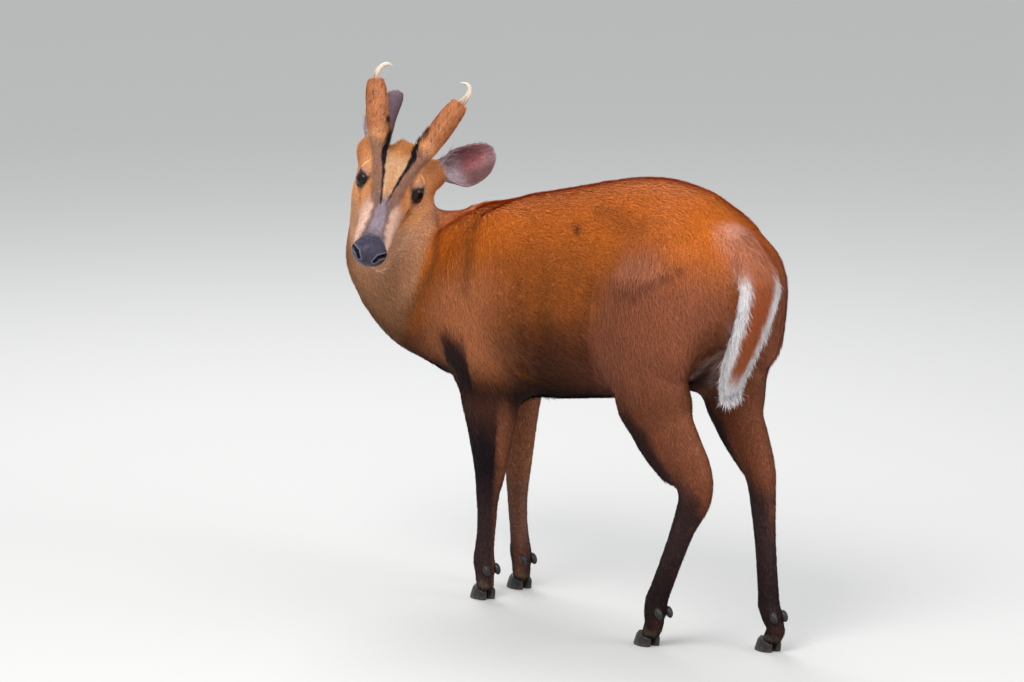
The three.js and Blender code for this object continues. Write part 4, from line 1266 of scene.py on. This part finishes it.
# %% Unwrap
for piece in bpy.context.scene.objects:
    piece.select_set(piece == skin)
bpy.context.view_layer.objects.active = skin
skin.data.uv_layers.new(name="OFBake")
bpy.ops.object.mode_set(mode="EDIT")
bpy.ops.mesh.select_all(action="SELECT")
bpy.ops.uv.smart_project(angle_limit=math.radians(66), island_margin=0.001)
bpy.ops.object.mode_set(mode="OBJECT")
skin.data.calc_loop_triangles()
triangle_count = len(skin.data.loop_triangles)
triangles = np.empty(triangle_count * 3, np.int32)
skin.data.loop_triangles.foreach_get("vertices", triangles)
triangles = triangles.reshape(-1, 3)
triangle_loops = np.empty(triangle_count * 3, np.int32)
skin.data.loop_triangles.foreach_get("loops", triangle_loops)
triangle_loops = triangle_loops.reshape(-1, 3)
unwrap = np.empty(len(skin.data.loops) * 2, np.float32)
skin.data.uv_layers["OFBake"].data.foreach_get("uv", unwrap)
unwrap = unwrap.reshape(-1, 2)
print("unwrapped", triangle_count, "triangles")

# %% [markdown]
# ## How the hair lies
# The coat lies back along the trunk and down the neck, the limbs and the tail. On the face it runs from
# the nose back to the crown, and on the ears and pedicles outwards. Each part has its own direction,
# length, width and density. Evening them out over the skin gives a coat without seams, and laying the
# direction flat on the skin gives the lie.

# %% Direction of the hair
def unit(vectors):
    return vectors / np.maximum(np.linalg.norm(vectors, axis=1), 1e-9)[:, None]


LIE = {
    "torso": body_way(-1, 0, -0.2),
    "neck": body_way(-0.3, -0.35, -0.9),
    "shoulder": body_way(-0.45, 0, -1),
    "thigh": body_way(-0.45, 0, -1),
    "shank": body_way(-0.2, 0, -1),
    "forearm": body_way(-0.15, 0, -1),
    "cannon": body_way(-0.1, 0, -1),
    "tail": body_way(-0.15, 0, -1),
    "head": head_way(-1, 0, 0.15),
    "pedicle": head_way(-0.72, 0, 0.56),
    "ear": head_way(-1, 0, 1),
}
lie = unit(np.array([LIE[name.split("_")[0]] for name in flesh_names]))[skin_part]
ear_numbers = {side: flesh_names.index(f"ear_{side}") for side in SIDES}
for side, number in ear_numbers.items():
    lie[skin_part == number] = unit(head_way(*ear_spots[side]["along"])[None])[0]
down_share = rise(-forward, 400, 500) * (1 - on_tail)
lie = lie * (1 - down_share[:, None]) + unit(body_way(-0.5, 0, -0.9)[None]) * down_share[:, None]
lie = even_out(lie, skin_ends, 14)
lie = unit(lie - skin_normals * (lie * skin_normals).sum(axis=1)[:, None])
print("hair laid")

# %% Length, width and density of the hair
HAIR = {
    "torso": (13, 1.5, 22),
    "neck": (10, 1.2, 26),
    "shoulder": (11, 1.3, 24),
    "thigh": (12, 1.3, 24),
    "shank": (8, 0.9, 32),
    "forearm": (7, 0.85, 32),
    "cannon": (5.5, 0.8, 34),
    "tail": (15, 1.1, 46),
    "head": (4.6, 0.62, 74),
    "pedicle": (6, 0.6, 80),
    "ear": (3.6, 0.6, 60),
}
HAIRY_BELOW = 0.25
SQUARE_CM = 100
hair_length, hair_width, density = even_out(by_part(HAIR, skin_part), skin_ends, 8).T
hair_length = hair_length * (1 - 0.45 * on_head * rise(x, 45, 80))
hair_length = hair_length * (1 + 0.7 * on_head * (1 - rise(x, -40, -20)))
bare = np.maximum(nose_pad, 1 - rise(alar, 3, 5)) * on_head
bare = np.maximum(bare, (1 - rise(mouth_gap, 1.6, 2.6)) * on_head)
bare = np.maximum(bare, (1 - rise(lid_gap, 1.0, 1.8)) * (eye_reach < EYE_AREA))
bare = np.maximum(bare, (1 - rise(up, 12, 15)))
density = density * (bare < HAIRY_BELOW)
corners = skin_places[triangles] / MM
sides = np.cross(corners[:, 1] - corners[:, 0], corners[:, 2] - corners[:, 0])
face_area = 0.5 * np.linalg.norm(sides, axis=1) / SQUARE_CM
face_part = skin_part[triangles[:, 0]]
face_left = left[triangles].mean(axis=1)
face_up = up[triangles].mean(axis=1)
face_middles = head_places[triangles].mean(axis=1)
print("skin area", round(face_area.sum()), "square centimetres")

# %% [markdown]
# ## Short hair
# A real coat has far too many hairs to model, and hair curves have no faces that other programs can use. So
# each tuft stands for a lock of a few dozen hairs. It is a closed sliver of four small faces: broad at the
# root, which is sunk in the skin, and pointed at the tip, which lifts a little. Roots are spread evenly over
# the skin by its area, from a seeded draw. A tuft takes its colour from the skin below it, so the markings
# carry on, with painted shade at its root and a lighter tip.

# %% Roots and slivers
draw = np.random.default_rng(7)
PATCH_SIZE = 0.003
SLIVER = {
    "faces": np.array([(0, 3, 1), (0, 2, 3), (1, 3, 2), (0, 1, 2)]),
    "patch": np.array([(-0.5, -0.5), (0.5, -0.5), (0, -0.5), (0, 0.5)]) * PATCH_SIZE,
    # Painted shade: the root and sunk corners are darker, and the tip lighter.
    "tones": np.array([0.52, 0.52, 0.42, 1.2]),
}
SLIVER_FOOT = {"above": 0.05 * MM, "sunk": 0.3 * MM}
SHORT = {"length_spread": 0.28, "width_spread": 0.2, "tone_spread": 0.2, "lift": (0.08, 0.2), "turn": 12}


def scatter(chosen, per_cm):
    """Roots on the chosen faces: the face of each and its place between the three corners."""
    numbers = np.flatnonzero(chosen)
    ends = np.cumsum(face_area[numbers] * per_cm[triangles[numbers]].mean(axis=1))
    count = int(ends[-1])
    steps = (np.arange(count) + draw.random(count)) / count * ends[-1]
    picks = numbers[np.minimum(np.searchsorted(ends, steps), len(numbers) - 1)]
    first, second = draw.random((2, count))
    over = first + second > 1
    first[over], second[over] = 1 - first[over], 1 - second[over]
    return picks, np.stack([1 - first - second, first, second], axis=1)


def carried(values, picks, shares):
    """Values of the skin's corners, carried to the roots."""
    flat = values.reshape(len(values), -1)
    return np.einsum("ij,ijk->ik", shares, flat[triangles[picks]])


def root_patch(picks, shares):
    """Each root's place on the unwrap."""
    places = np.einsum("ij,ijk->ik", shares, unwrap[triangle_loops[picks]])
    return np.clip(places, PATCH_SIZE, 1 - PATCH_SIZE)


# %% Meshes of tufts
def hair_mesh(name, points, faces, colours, patches):
    """A mesh from arrays: each tuft's points, the faces of one tuft, and its colours and patch."""
    tufts, each = points.shape[:2]
    corners = (np.arange(tufts)[:, None, None] * each + faces[None]).reshape(-1)
    mesh = bpy.data.meshes.new(name)
    mesh.vertices.add(tufts * each)
    mesh.vertices.foreach_set("co", points.astype(np.float32).ravel())
    mesh.loops.add(len(corners))
    mesh.loops.foreach_set("vertex_index", corners.astype(np.int32))
    mesh.polygons.add(len(corners) // 3)
    mesh.polygons.foreach_set("loop_start", np.arange(0, len(corners), 3, dtype=np.int32))
    mesh.update(calc_edges=True)
    mesh.shade_flat()
    store_colours(mesh, "coat", colours.reshape(-1, 3))
    layer = mesh.uv_layers.new(name="OFBake")
    layer.data.foreach_set("uv", patches.reshape(-1, 2)[corners].astype(np.float32).ravel())
    return mesh


def frame_of_roots(picks, shares, turn):
    """Place, normal, direction and side of each tuft, the direction turned a little at random."""
    normal = unit(carried(skin_normals, picks, shares))
    way = unit(carried(lie, picks, shares))
    way = unit(way - normal * (way * normal).sum(axis=1)[:, None])
    angle = draw.normal(0, math.radians(turn), len(picks))[:, None]
    side = np.cross(normal, way)
    way = way * np.cos(angle) + side * np.sin(angle)
    return carried(skin_places, picks, shares), normal, way, np.cross(normal, way)


def uneven_factor(count, spread):
    return (1 + draw.uniform(-spread, spread, count))[:, None]


hair_material = grained("hair", fineness=900, depth=0.3, bump=0.2, roughness=0.6, specular=0.08)


def grow(name, slot, kind, points, tone, picks, shares):
    """Makes one piece of the coat out of its tufts' points and tones."""
    colours = np.clip(tone[:, None] * kind["tones"][None, :, None], 0, 1)
    patches = root_patch(picks, shares)[:, None] + kind["patch"][None]
    settle(new_object(name, hair_mesh(name, points, kind["faces"], colours, patches)), hair_material)


def short_hair(name, slot, chosen):
    """One piece of the coat, in slivers."""
    picks, shares = scatter(chosen, density)
    root, normal, way, side = frame_of_roots(picks, shares, SHORT["turn"])
    count = len(picks)
    length = carried(hair_length, picks, shares) * MM * uneven_factor(count, SHORT["length_spread"])
    half = carried(hair_width, picks, shares) * MM * 0.5 * uneven_factor(count, SHORT["width_spread"])
    lifted = draw.uniform(*SHORT["lift"], count)[:, None]
    points = np.stack([
        root - side * half + normal * SLIVER_FOOT["above"],
        root + side * half + normal * SLIVER_FOOT["above"],
        root - normal * SLIVER_FOOT["sunk"] + way * half,
        root + way * length + normal * length * lifted,
    ], axis=1)
    tone = carried(coat, picks, shares) * uneven_factor(count, SHORT["tone_spread"])
    grow(name, slot, SLIVER, points, tone, picks, shares)


# %% Grow the short hair, area by area
def faces_of(*prefixes):
    numbers = [n for n, name in enumerate(flesh_names) if name.startswith(prefixes)]
    return np.isin(face_part, numbers)


nose_side = face_middles[:, 1] > 0
AREAS = [
    ("coat_trunk_left", faces_of("torso") & (face_left > 0), "coat_rust"),
    ("coat_trunk_right", faces_of("torso") & (face_left <= 0), "coat_rust"),
    ("coat_neck", faces_of("neck"), "coat_neck"),
    ("coat_shoulders", faces_of("shoulder"), "coat_rust"),
    ("coat_thighs", faces_of("thigh"), "coat_rust"),
    ("coat_fore_legs", faces_of("forearm", "cannon_fore"), "coat_dark"),
    ("coat_hind_legs", faces_of("shank", "cannon_hind"), "coat_dark"),
    ("coat_tail", faces_of("tail"), "coat_rust"),
    ("coat_face_left", faces_of("head") & nose_side, "coat_face"),
    ("coat_face_right", faces_of("head") & ~nose_side, "coat_face"),
    ("coat_ears_and_pedicles", faces_of("ear", "pedicle"), "coat_face"),
]
for name, chosen, slot in AREAS:
    short_hair(name, slot, chosen)

# %% [markdown]
# ## Long hair
# The white fringe of the tail, its longer locks, the hairs at the front of the ears and the tufts at the
# feet of the pedicles break the outline, so they are longer. Such a tuft has a bend: a root, a waist and a
# tip, ten small faces in all.

# %% Bent tufts
BENT = {
    "faces": np.array([
        (0, 3, 4), (0, 4, 1), (0, 2, 5), (0, 5, 3), (1, 4, 5), (1, 5, 2),
        (3, 6, 4), (3, 5, 6), (4, 6, 5), (0, 1, 2),
    ]),
    "patch": np.array([
        (-0.5, -0.5), (0.5, -0.5), (0, -0.5), (-0.3, 0), (0.3, 0), (0, 0), (0, 0.5),
    ]) * PATCH_SIZE,
    # Painted shade: the root and sunk corners are darker, and the tip lighter.
    "tones": np.array([0.7, 0.7, 0.5, 1, 1, 0.7, 1.08]),
}
BENT_SUNK = 0.6 * MM
WAIST_WIDTH = 0.7
TIP_LIFT = 0.8
LONG = {"length_spread": 0.3, "width_spread": 0.2, "tone_spread": 0.12}
CROWN_LINE = [(-16, 23, 46), (-40, 32, 63)]
CROWN_ROOM = 8


def long_hair(name, slot, chosen, per_cm, length, width, lift, droop, turn):
    """Bent tufts on the chosen faces, `per_cm` of them on each square centimetre."""
    picks, shares = scatter(chosen, np.full(len(skin_places), float(per_cm)))
    root, normal, way, side = frame_of_roots(picks, shares, turn)
    count = len(picks)
    reach = length * MM * uneven_factor(count, LONG["length_spread"])
    half = width * MM * 0.5 * uneven_factor(count, LONG["width_spread"])
    lifted = draw.uniform(*lift, count)[:, None]
    waist = root + way * reach * 0.5 + normal * reach * lifted * 0.5
    tip = root + way * reach + normal * reach * lifted * TIP_LIFT - np.array(upright) * reach * droop
    narrow = half * WAIST_WIDTH
    points = np.stack([
        root - side * half,
        root + side * half,
        root - normal * BENT_SUNK,
        waist - side * narrow,
        waist + side * narrow,
        waist - normal * narrow,
        tip,
    ], axis=1)
    tone = carried(coat, picks, shares) * uneven_factor(count, LONG["tone_spread"])
    grow(name, slot, BENT, points, tone, picks, shares)


# %% Grow the long hair
white_share = (on_tail * white_parts)[triangles].mean(axis=1)
edge_faces = faces_of("tail") & (white_share > 0.6)
lock_faces = faces_of("tail") & (white_share <= 0.5) & (face_up < 505)
crown_faces = faces_of("head", "pedicle") & (away_from(sided(face_middles), CROWN_LINE) < CROWN_ROOM)
long_hair("tail_fringe", "coat_rust", edge_faces, 24, 15, 0.9, (0.02, 0.14), droop=0.12, turn=6)
long_hair("tail_locks", "coat_rust", lock_faces, 16, 18, 1.0, (0.02, 0.12), droop=0.1, turn=6)
long_hair("crown_tufts", "coat_face", crown_faces, 110, 9, 0.6, (0.15, 0.45), droop=0, turn=10)
for side, number in ear_numbers.items():
    spots = ear_spots[side]
    front = (spots["inside"] > 0.5) & (spots["across"] * SIDES[side] < 2) & (spots["share"] < 0.75)
    ear_faces = (face_part == number) & front[triangles].all(axis=1)
    long_hair(f"ear_hairs_{side}", "coat_face", ear_faces, 16, 13, 0.5, (0.15, 0.5), droop=0, turn=16)

# %% [markdown]
# ## Eyes
# A muntjac's eye is nearly black, wet and bulges a little at the cornea. A ball of rings lies behind the
# lids, with its pole towards the way that the eye looks, so the iris and pupil are rings too. A second, clear
# ball over it could stand for the cornea; the shader's coat gives the same catch light with no extra shell.

# %% Eyeballs
EYEBALL = {"radius": 13.2, "bulge": 1.0, "bulge_from": 0.75, "bulge_power": 0.7}
EYE_FINISH = {"Specular IOR Level": 0.12, "Coat Weight": 0.22, "Coat Roughness": 0.02}
EYE_COLOURS = [
    (0.0, (0.002, 0.002, 0.003)),
    (0.3, (0.003, 0.002, 0.003)),
    (0.36, (0.012, 0.006, 0.005)),
    (0.62, (0.008, 0.005, 0.004)),
    (0.7, (0.003, 0.002, 0.002)),
    (0.95, (0.008, 0.005, 0.005)),
]


def make_eye(side):
    ahead, over, look = eye_axes(SIDES[side])
    bm = bmesh.new()
    bmesh.ops.create_uvsphere(bm, u_segments=48, v_segments=32, radius=EYEBALL["radius"] * MM)
    turned = Matrix(np.array([ahead, over, look]) @ HEAD_AXES).transposed()
    for vertex in bm.verts:
        height = vertex.co.z / (EYEBALL["radius"] * MM)
        past = max(0, (height - EYEBALL["bulge_from"]) / (1 - EYEBALL["bulge_from"]))
        vertex.co *= 1 + EYEBALL["bulge"] / EYEBALL["radius"] * past ** EYEBALL["bulge_power"]
    ring = [math.acos(max(-1, min(1, v.co.normalized().z))) for v in bm.verts]
    bmesh.ops.transform(bm, matrix=turned.to_4x4(), verts=bm.verts)
    centre = Vector(head_at(*(np.array(EYE_CENTRE) * (1, SIDES[side], 1))))
    bmesh.ops.translate(bm, vec=centre, verts=bm.verts)
    bmesh.ops.recalc_face_normals(bm, faces=bm.faces)
    piece = new_object(f"eyeball_{side}", mesh_of(bm, f"eyeball_{side}"))
    piece.data.shade_smooth()
    store_values(piece.data, "ring", ring)
    return piece


# %% Material of the eyes
def make_eye_material():
    """Nearly black rings of pupil and iris under a clear wet layer."""
    material = new_material("wet_eye", 0.08)
    tree = material.node_tree
    shader = tree.nodes["Principled BSDF"]
    for name, value in EYE_FINISH.items():
        shader.inputs[name].default_value = value
    ring = new_node(tree, "ShaderNodeAttribute", {"attribute_name": "ring"})
    iris = new_node(tree, "ShaderNodeValToRGB")
    for place, _ in EYE_COLOURS[1:-1]:
        iris.color_ramp.elements.new(place)
    for element, (place, colour) in zip(iris.color_ramp.elements, EYE_COLOURS):
        element.position = place
        element.color = (*colour, 1)
    link_all(
        tree,
        (ring.outputs["Fac"], iris.inputs["Fac"]),
        (iris.outputs["Color"], shader.inputs["Base Color"]),
    )
    return material


eye_material = make_eye_material()
for side in SIDES:
    settle(make_eye(side), eye_material, (f"eye_{side}",))

# %% [markdown]
# ## Antlers
# The short antlers are bare bone, paler at the tips and furrowed towards the burr. Beam and brow tine are
# tubes along two curves, which follow the photo at the depth of the imported antler. They are melted into one
# piece, so that the fork has a soft crotch, and the furrows are pressed in along the beam.

# %% Antler shapes
ANTLER_VOXEL = 0.6 * MM
ANTLER_ROUNDS = 4
BONE = palette(ivory=(214, 196, 176), brown=(150, 104, 78), furrow=(96, 62, 46), tip=(226, 212, 196))
HOOKS = {
    "right": {
        "beam": [
            (375, 84), (375.6, 79), (376.4, 73.5), (379.6, 67.8), (385, 64.2), (389.6, 63.8), (392.6, 66.4),
        ],
        "tine": [(378, 83), (382, 80.5), (384, 78.5)],
    },
    "left": {
        "beam": [
            (458, 107), (461.5, 103.5), (466, 98.5), (469.8, 92), (469.4, 86.6), (465.4, 83.4), (460, 83.2),
        ],
        "tine": [(456, 104), (452.6, 101), (451.2, 99)],
    },
}
BEAM_RADII = (5.2, 4.9, 4.1, 3.5, 3.1, 2.4, 0.9)
TINE_RADII = (3.0, 2.1, 0.8)
TINE_RISE = 0.3
FOOT_PERCENT = 30
TOP_ROOM = 4 * MM
FURROWS = {"count": 9, "wave": 1.2, "wave_rate": 0.16, "depth": 0.28}
PEARLS = {"size": 3.0, "height": 0.5}


def melt(piece, voxel, rounds):
    """One even surface out of a piece's overlapping solids."""
    voxel_remesh(piece, voxel)
    smooth(piece, rounds)
    return piece


def beside_node(pixels, low, high):
    """Places behind some pixels of the photo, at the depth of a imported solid's foot and then its top."""
    places = []
    for number, pixel in enumerate(pixels):
        way = way_through(pixel)
        goal = low.lerp(high, min(1, number / (len(pixels) - 1)))
        places.append(camera.location + way * ((goal - camera.location).dot(back) / way.dot(back)))
    return places


def add_tube(curve, places, radii):
    spline = curve.splines.new("NURBS")
    spline.points.add(len(places) - 1)
    for point, place, radius in zip(spline.points, places, radii):
        point.co = (*place, 1)
        point.radius = radius
    spline.order_u = 3
    spline.use_endpoint_u = True


def hooked_tubes(side):
    """The beam and the brow tine as one mesh of two tubes."""
    solid = np.array([v.co for v in nodes[f"antler_{side}"].data.vertices])
    gaps = np.linalg.norm(solid - centre_of(f"pedicle_{side}"), axis=1)
    foot = Vector(solid[gaps < np.percentile(gaps, FOOT_PERCENT)].mean(axis=0))
    top = Vector(solid[np.abs(solid[:, 2] - solid[:, 2].max()) < TOP_ROOM].mean(axis=0))
    curve = bpy.data.curves.new(f"bone_antler_{side}", "CURVE")
    curve.dimensions = "3D"
    curve.bevel_depth = MM
    curve.bevel_resolution = 6
    curve.use_fill_caps = True
    add_tube(curve, beside_node(HOOKS[side]["beam"], foot, top), BEAM_RADII)
    add_tube(curve, beside_node(HOOKS[side]["tine"], foot, foot.lerp(top, TINE_RISE)), TINE_RADII)
    tube = new_object("tube", curve)
    graph = bpy.context.evaluated_depsgraph_get()
    mesh = bpy.data.meshes.new_from_object(tube.evaluated_get(graph))
    bpy.data.objects.remove(tube)
    return mesh


# %% Antlers with their furrows
def make_antler(side):
    piece = melt(new_object(f"bone_antler_{side}", hooked_tubes(side)), ANTLER_VOXEL, ANTLER_ROUNDS)
    places = positions_of(piece.data)
    own = in_head(places)
    root = in_head(centre_of(f"pedicle_{side}")[None])[0]
    away = np.linalg.norm(own - root, axis=1)
    share = (away - away.min()) / (away.max() - away.min())
    along = one_long(own[np.argmax(away)] - root)
    spoke_a = one_long(np.cross(along, (0, SIDES[side], 0)))
    spoke_b = np.cross(along, spoke_a)
    spokes = own - own.mean(axis=0)
    angle = np.arctan2(spokes @ spoke_b, spokes @ spoke_a)
    wave = FURROWS["wave"] * np.sin(FURROWS["wave_rate"] * away)
    furrow = np.sin(FURROWS["count"] * angle + wave) * (1 - rise(share, 0.3, 0.75))
    pearl = ripple(places, PEARLS["size"]) * (1 - rise(share, 0.05, 0.3))
    relief = FURROWS["depth"] * furrow + PEARLS["height"] * pearl
    places += normals_of(piece.data) * (relief * MM)[:, None]
    set_positions(piece.data, places)
    colours = layered(np.tile(BONE["ivory"], (len(places), 1)), BONE, [
        ("brown", (1 - rise(share + 0.1 * ripple(places, 12), 0.15, 0.6)) * 0.7),
        ("furrow", rise(-furrow, 0.2, 0.9) * 0.55),
        ("tip", rise(share, 0.8, 1.0) * 0.7),
    ])
    store_colours(piece.data, "coat", colours)
    piece.data.shade_smooth()
    return piece


bone_material = grained("antler_bone", fineness=380, depth=0.22, bump=0.25, roughness=0.38, specular=0.45)
for side in SIDES:
    settle(make_antler(side), bone_material, (f"antler_{side}", f"brow_tine_{side}"))

# %% [markdown]
# ## Hooves and dewclaws
# Each claw is a smooth wall of dull black horn with faint rings, scuffed and dusty at its lower edge. A bevel
# would round only its edges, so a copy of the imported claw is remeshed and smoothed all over, and its sole is
# laid flat again, as the animal stands on it. Above each foot, two little claws stand out behind the fetlock.

# %% Hoof shapes
HOOF_VOXEL = 1.0 * MM
HOOF_GROW = 0.1 * MM
HOOF_ROUNDS = 5
SOLE_ROOM = 1.4 * MM
HORN = palette(black=(32, 28, 28), dust=(96, 80, 64), ring=(18, 15, 15))
horn_material = grained("hoof_horn", fineness=420, depth=0.25, bump=0.3, roughness=0.45, specular=0.4)


def finish_horn(piece, replaced=()):
    places = positions_of(piece.data)
    high = in_body(places)[:, 2]
    colours = layered(np.tile(HORN["black"], (len(places), 1)), HORN, [
        ("ring", rise(np.sin(high * 1.5 + ripple(places, 8)), 0.3, 0.9) * 0.5),
        ("dust", (1 - rise(high + 3 * ripple(places, 6), 1, 8)) * 0.45),
    ])
    store_colours(piece.data, "coat", colours)
    piece.data.shade_smooth()
    settle(piece, horn_material, replaced)


for node in sorted(name for name in nodes if name.startswith("hoof_")):
    sole = min(v.co.z for v in nodes[node].data.vertices)
    name = f"horn_{node}"
    claw = melt(new_object(name, mesh_of(merged_copy(node, HOOF_GROW), name)), HOOF_VOXEL, HOOF_ROUNDS)
    places = positions_of(claw.data)
    places[places[:, 2] < sole + SOLE_ROOM, 2] = sole
    set_positions(claw.data, places)
    finish_horn(claw, (node,))

# %% Dewclaws
FETLOCKS = {
    "fore_left": (0, 46, 46),
    "fore_right": (24, -32, 46),
    "hind_left": (-367, 52, 52),
    "hind_right": (-473, -48, 52),
}
DEWCLAW = {"back": -19, "aside": 8.5, "down": -5, "size": (4.4, 5.0, 8.0), "tilt": 28}
tilt = Matrix.Rotation(math.radians(DEWCLAW["tilt"]), 3, "X")
body = bmesh.new()
for fetlock in FETLOCKS.values():
    for sign in SIDES.values():
        made = bmesh.ops.create_icosphere(body, subdivisions=3, radius=MM)["verts"]
        bmesh.ops.scale(body, vec=DEWCLAW["size"], verts=made)
        bmesh.ops.rotate(body, cent=(0, 0, 0), matrix=tilt, verts=made)
        place = np.array(fetlock, float) + (DEWCLAW["back"], sign * DEWCLAW["aside"], DEWCLAW["down"])
        bmesh.ops.translate(body, vec=Vector(body_at(*place)), verts=made)
finish_horn(new_object("horn_dewclaws", mesh_of(body, "horn_dewclaws")))
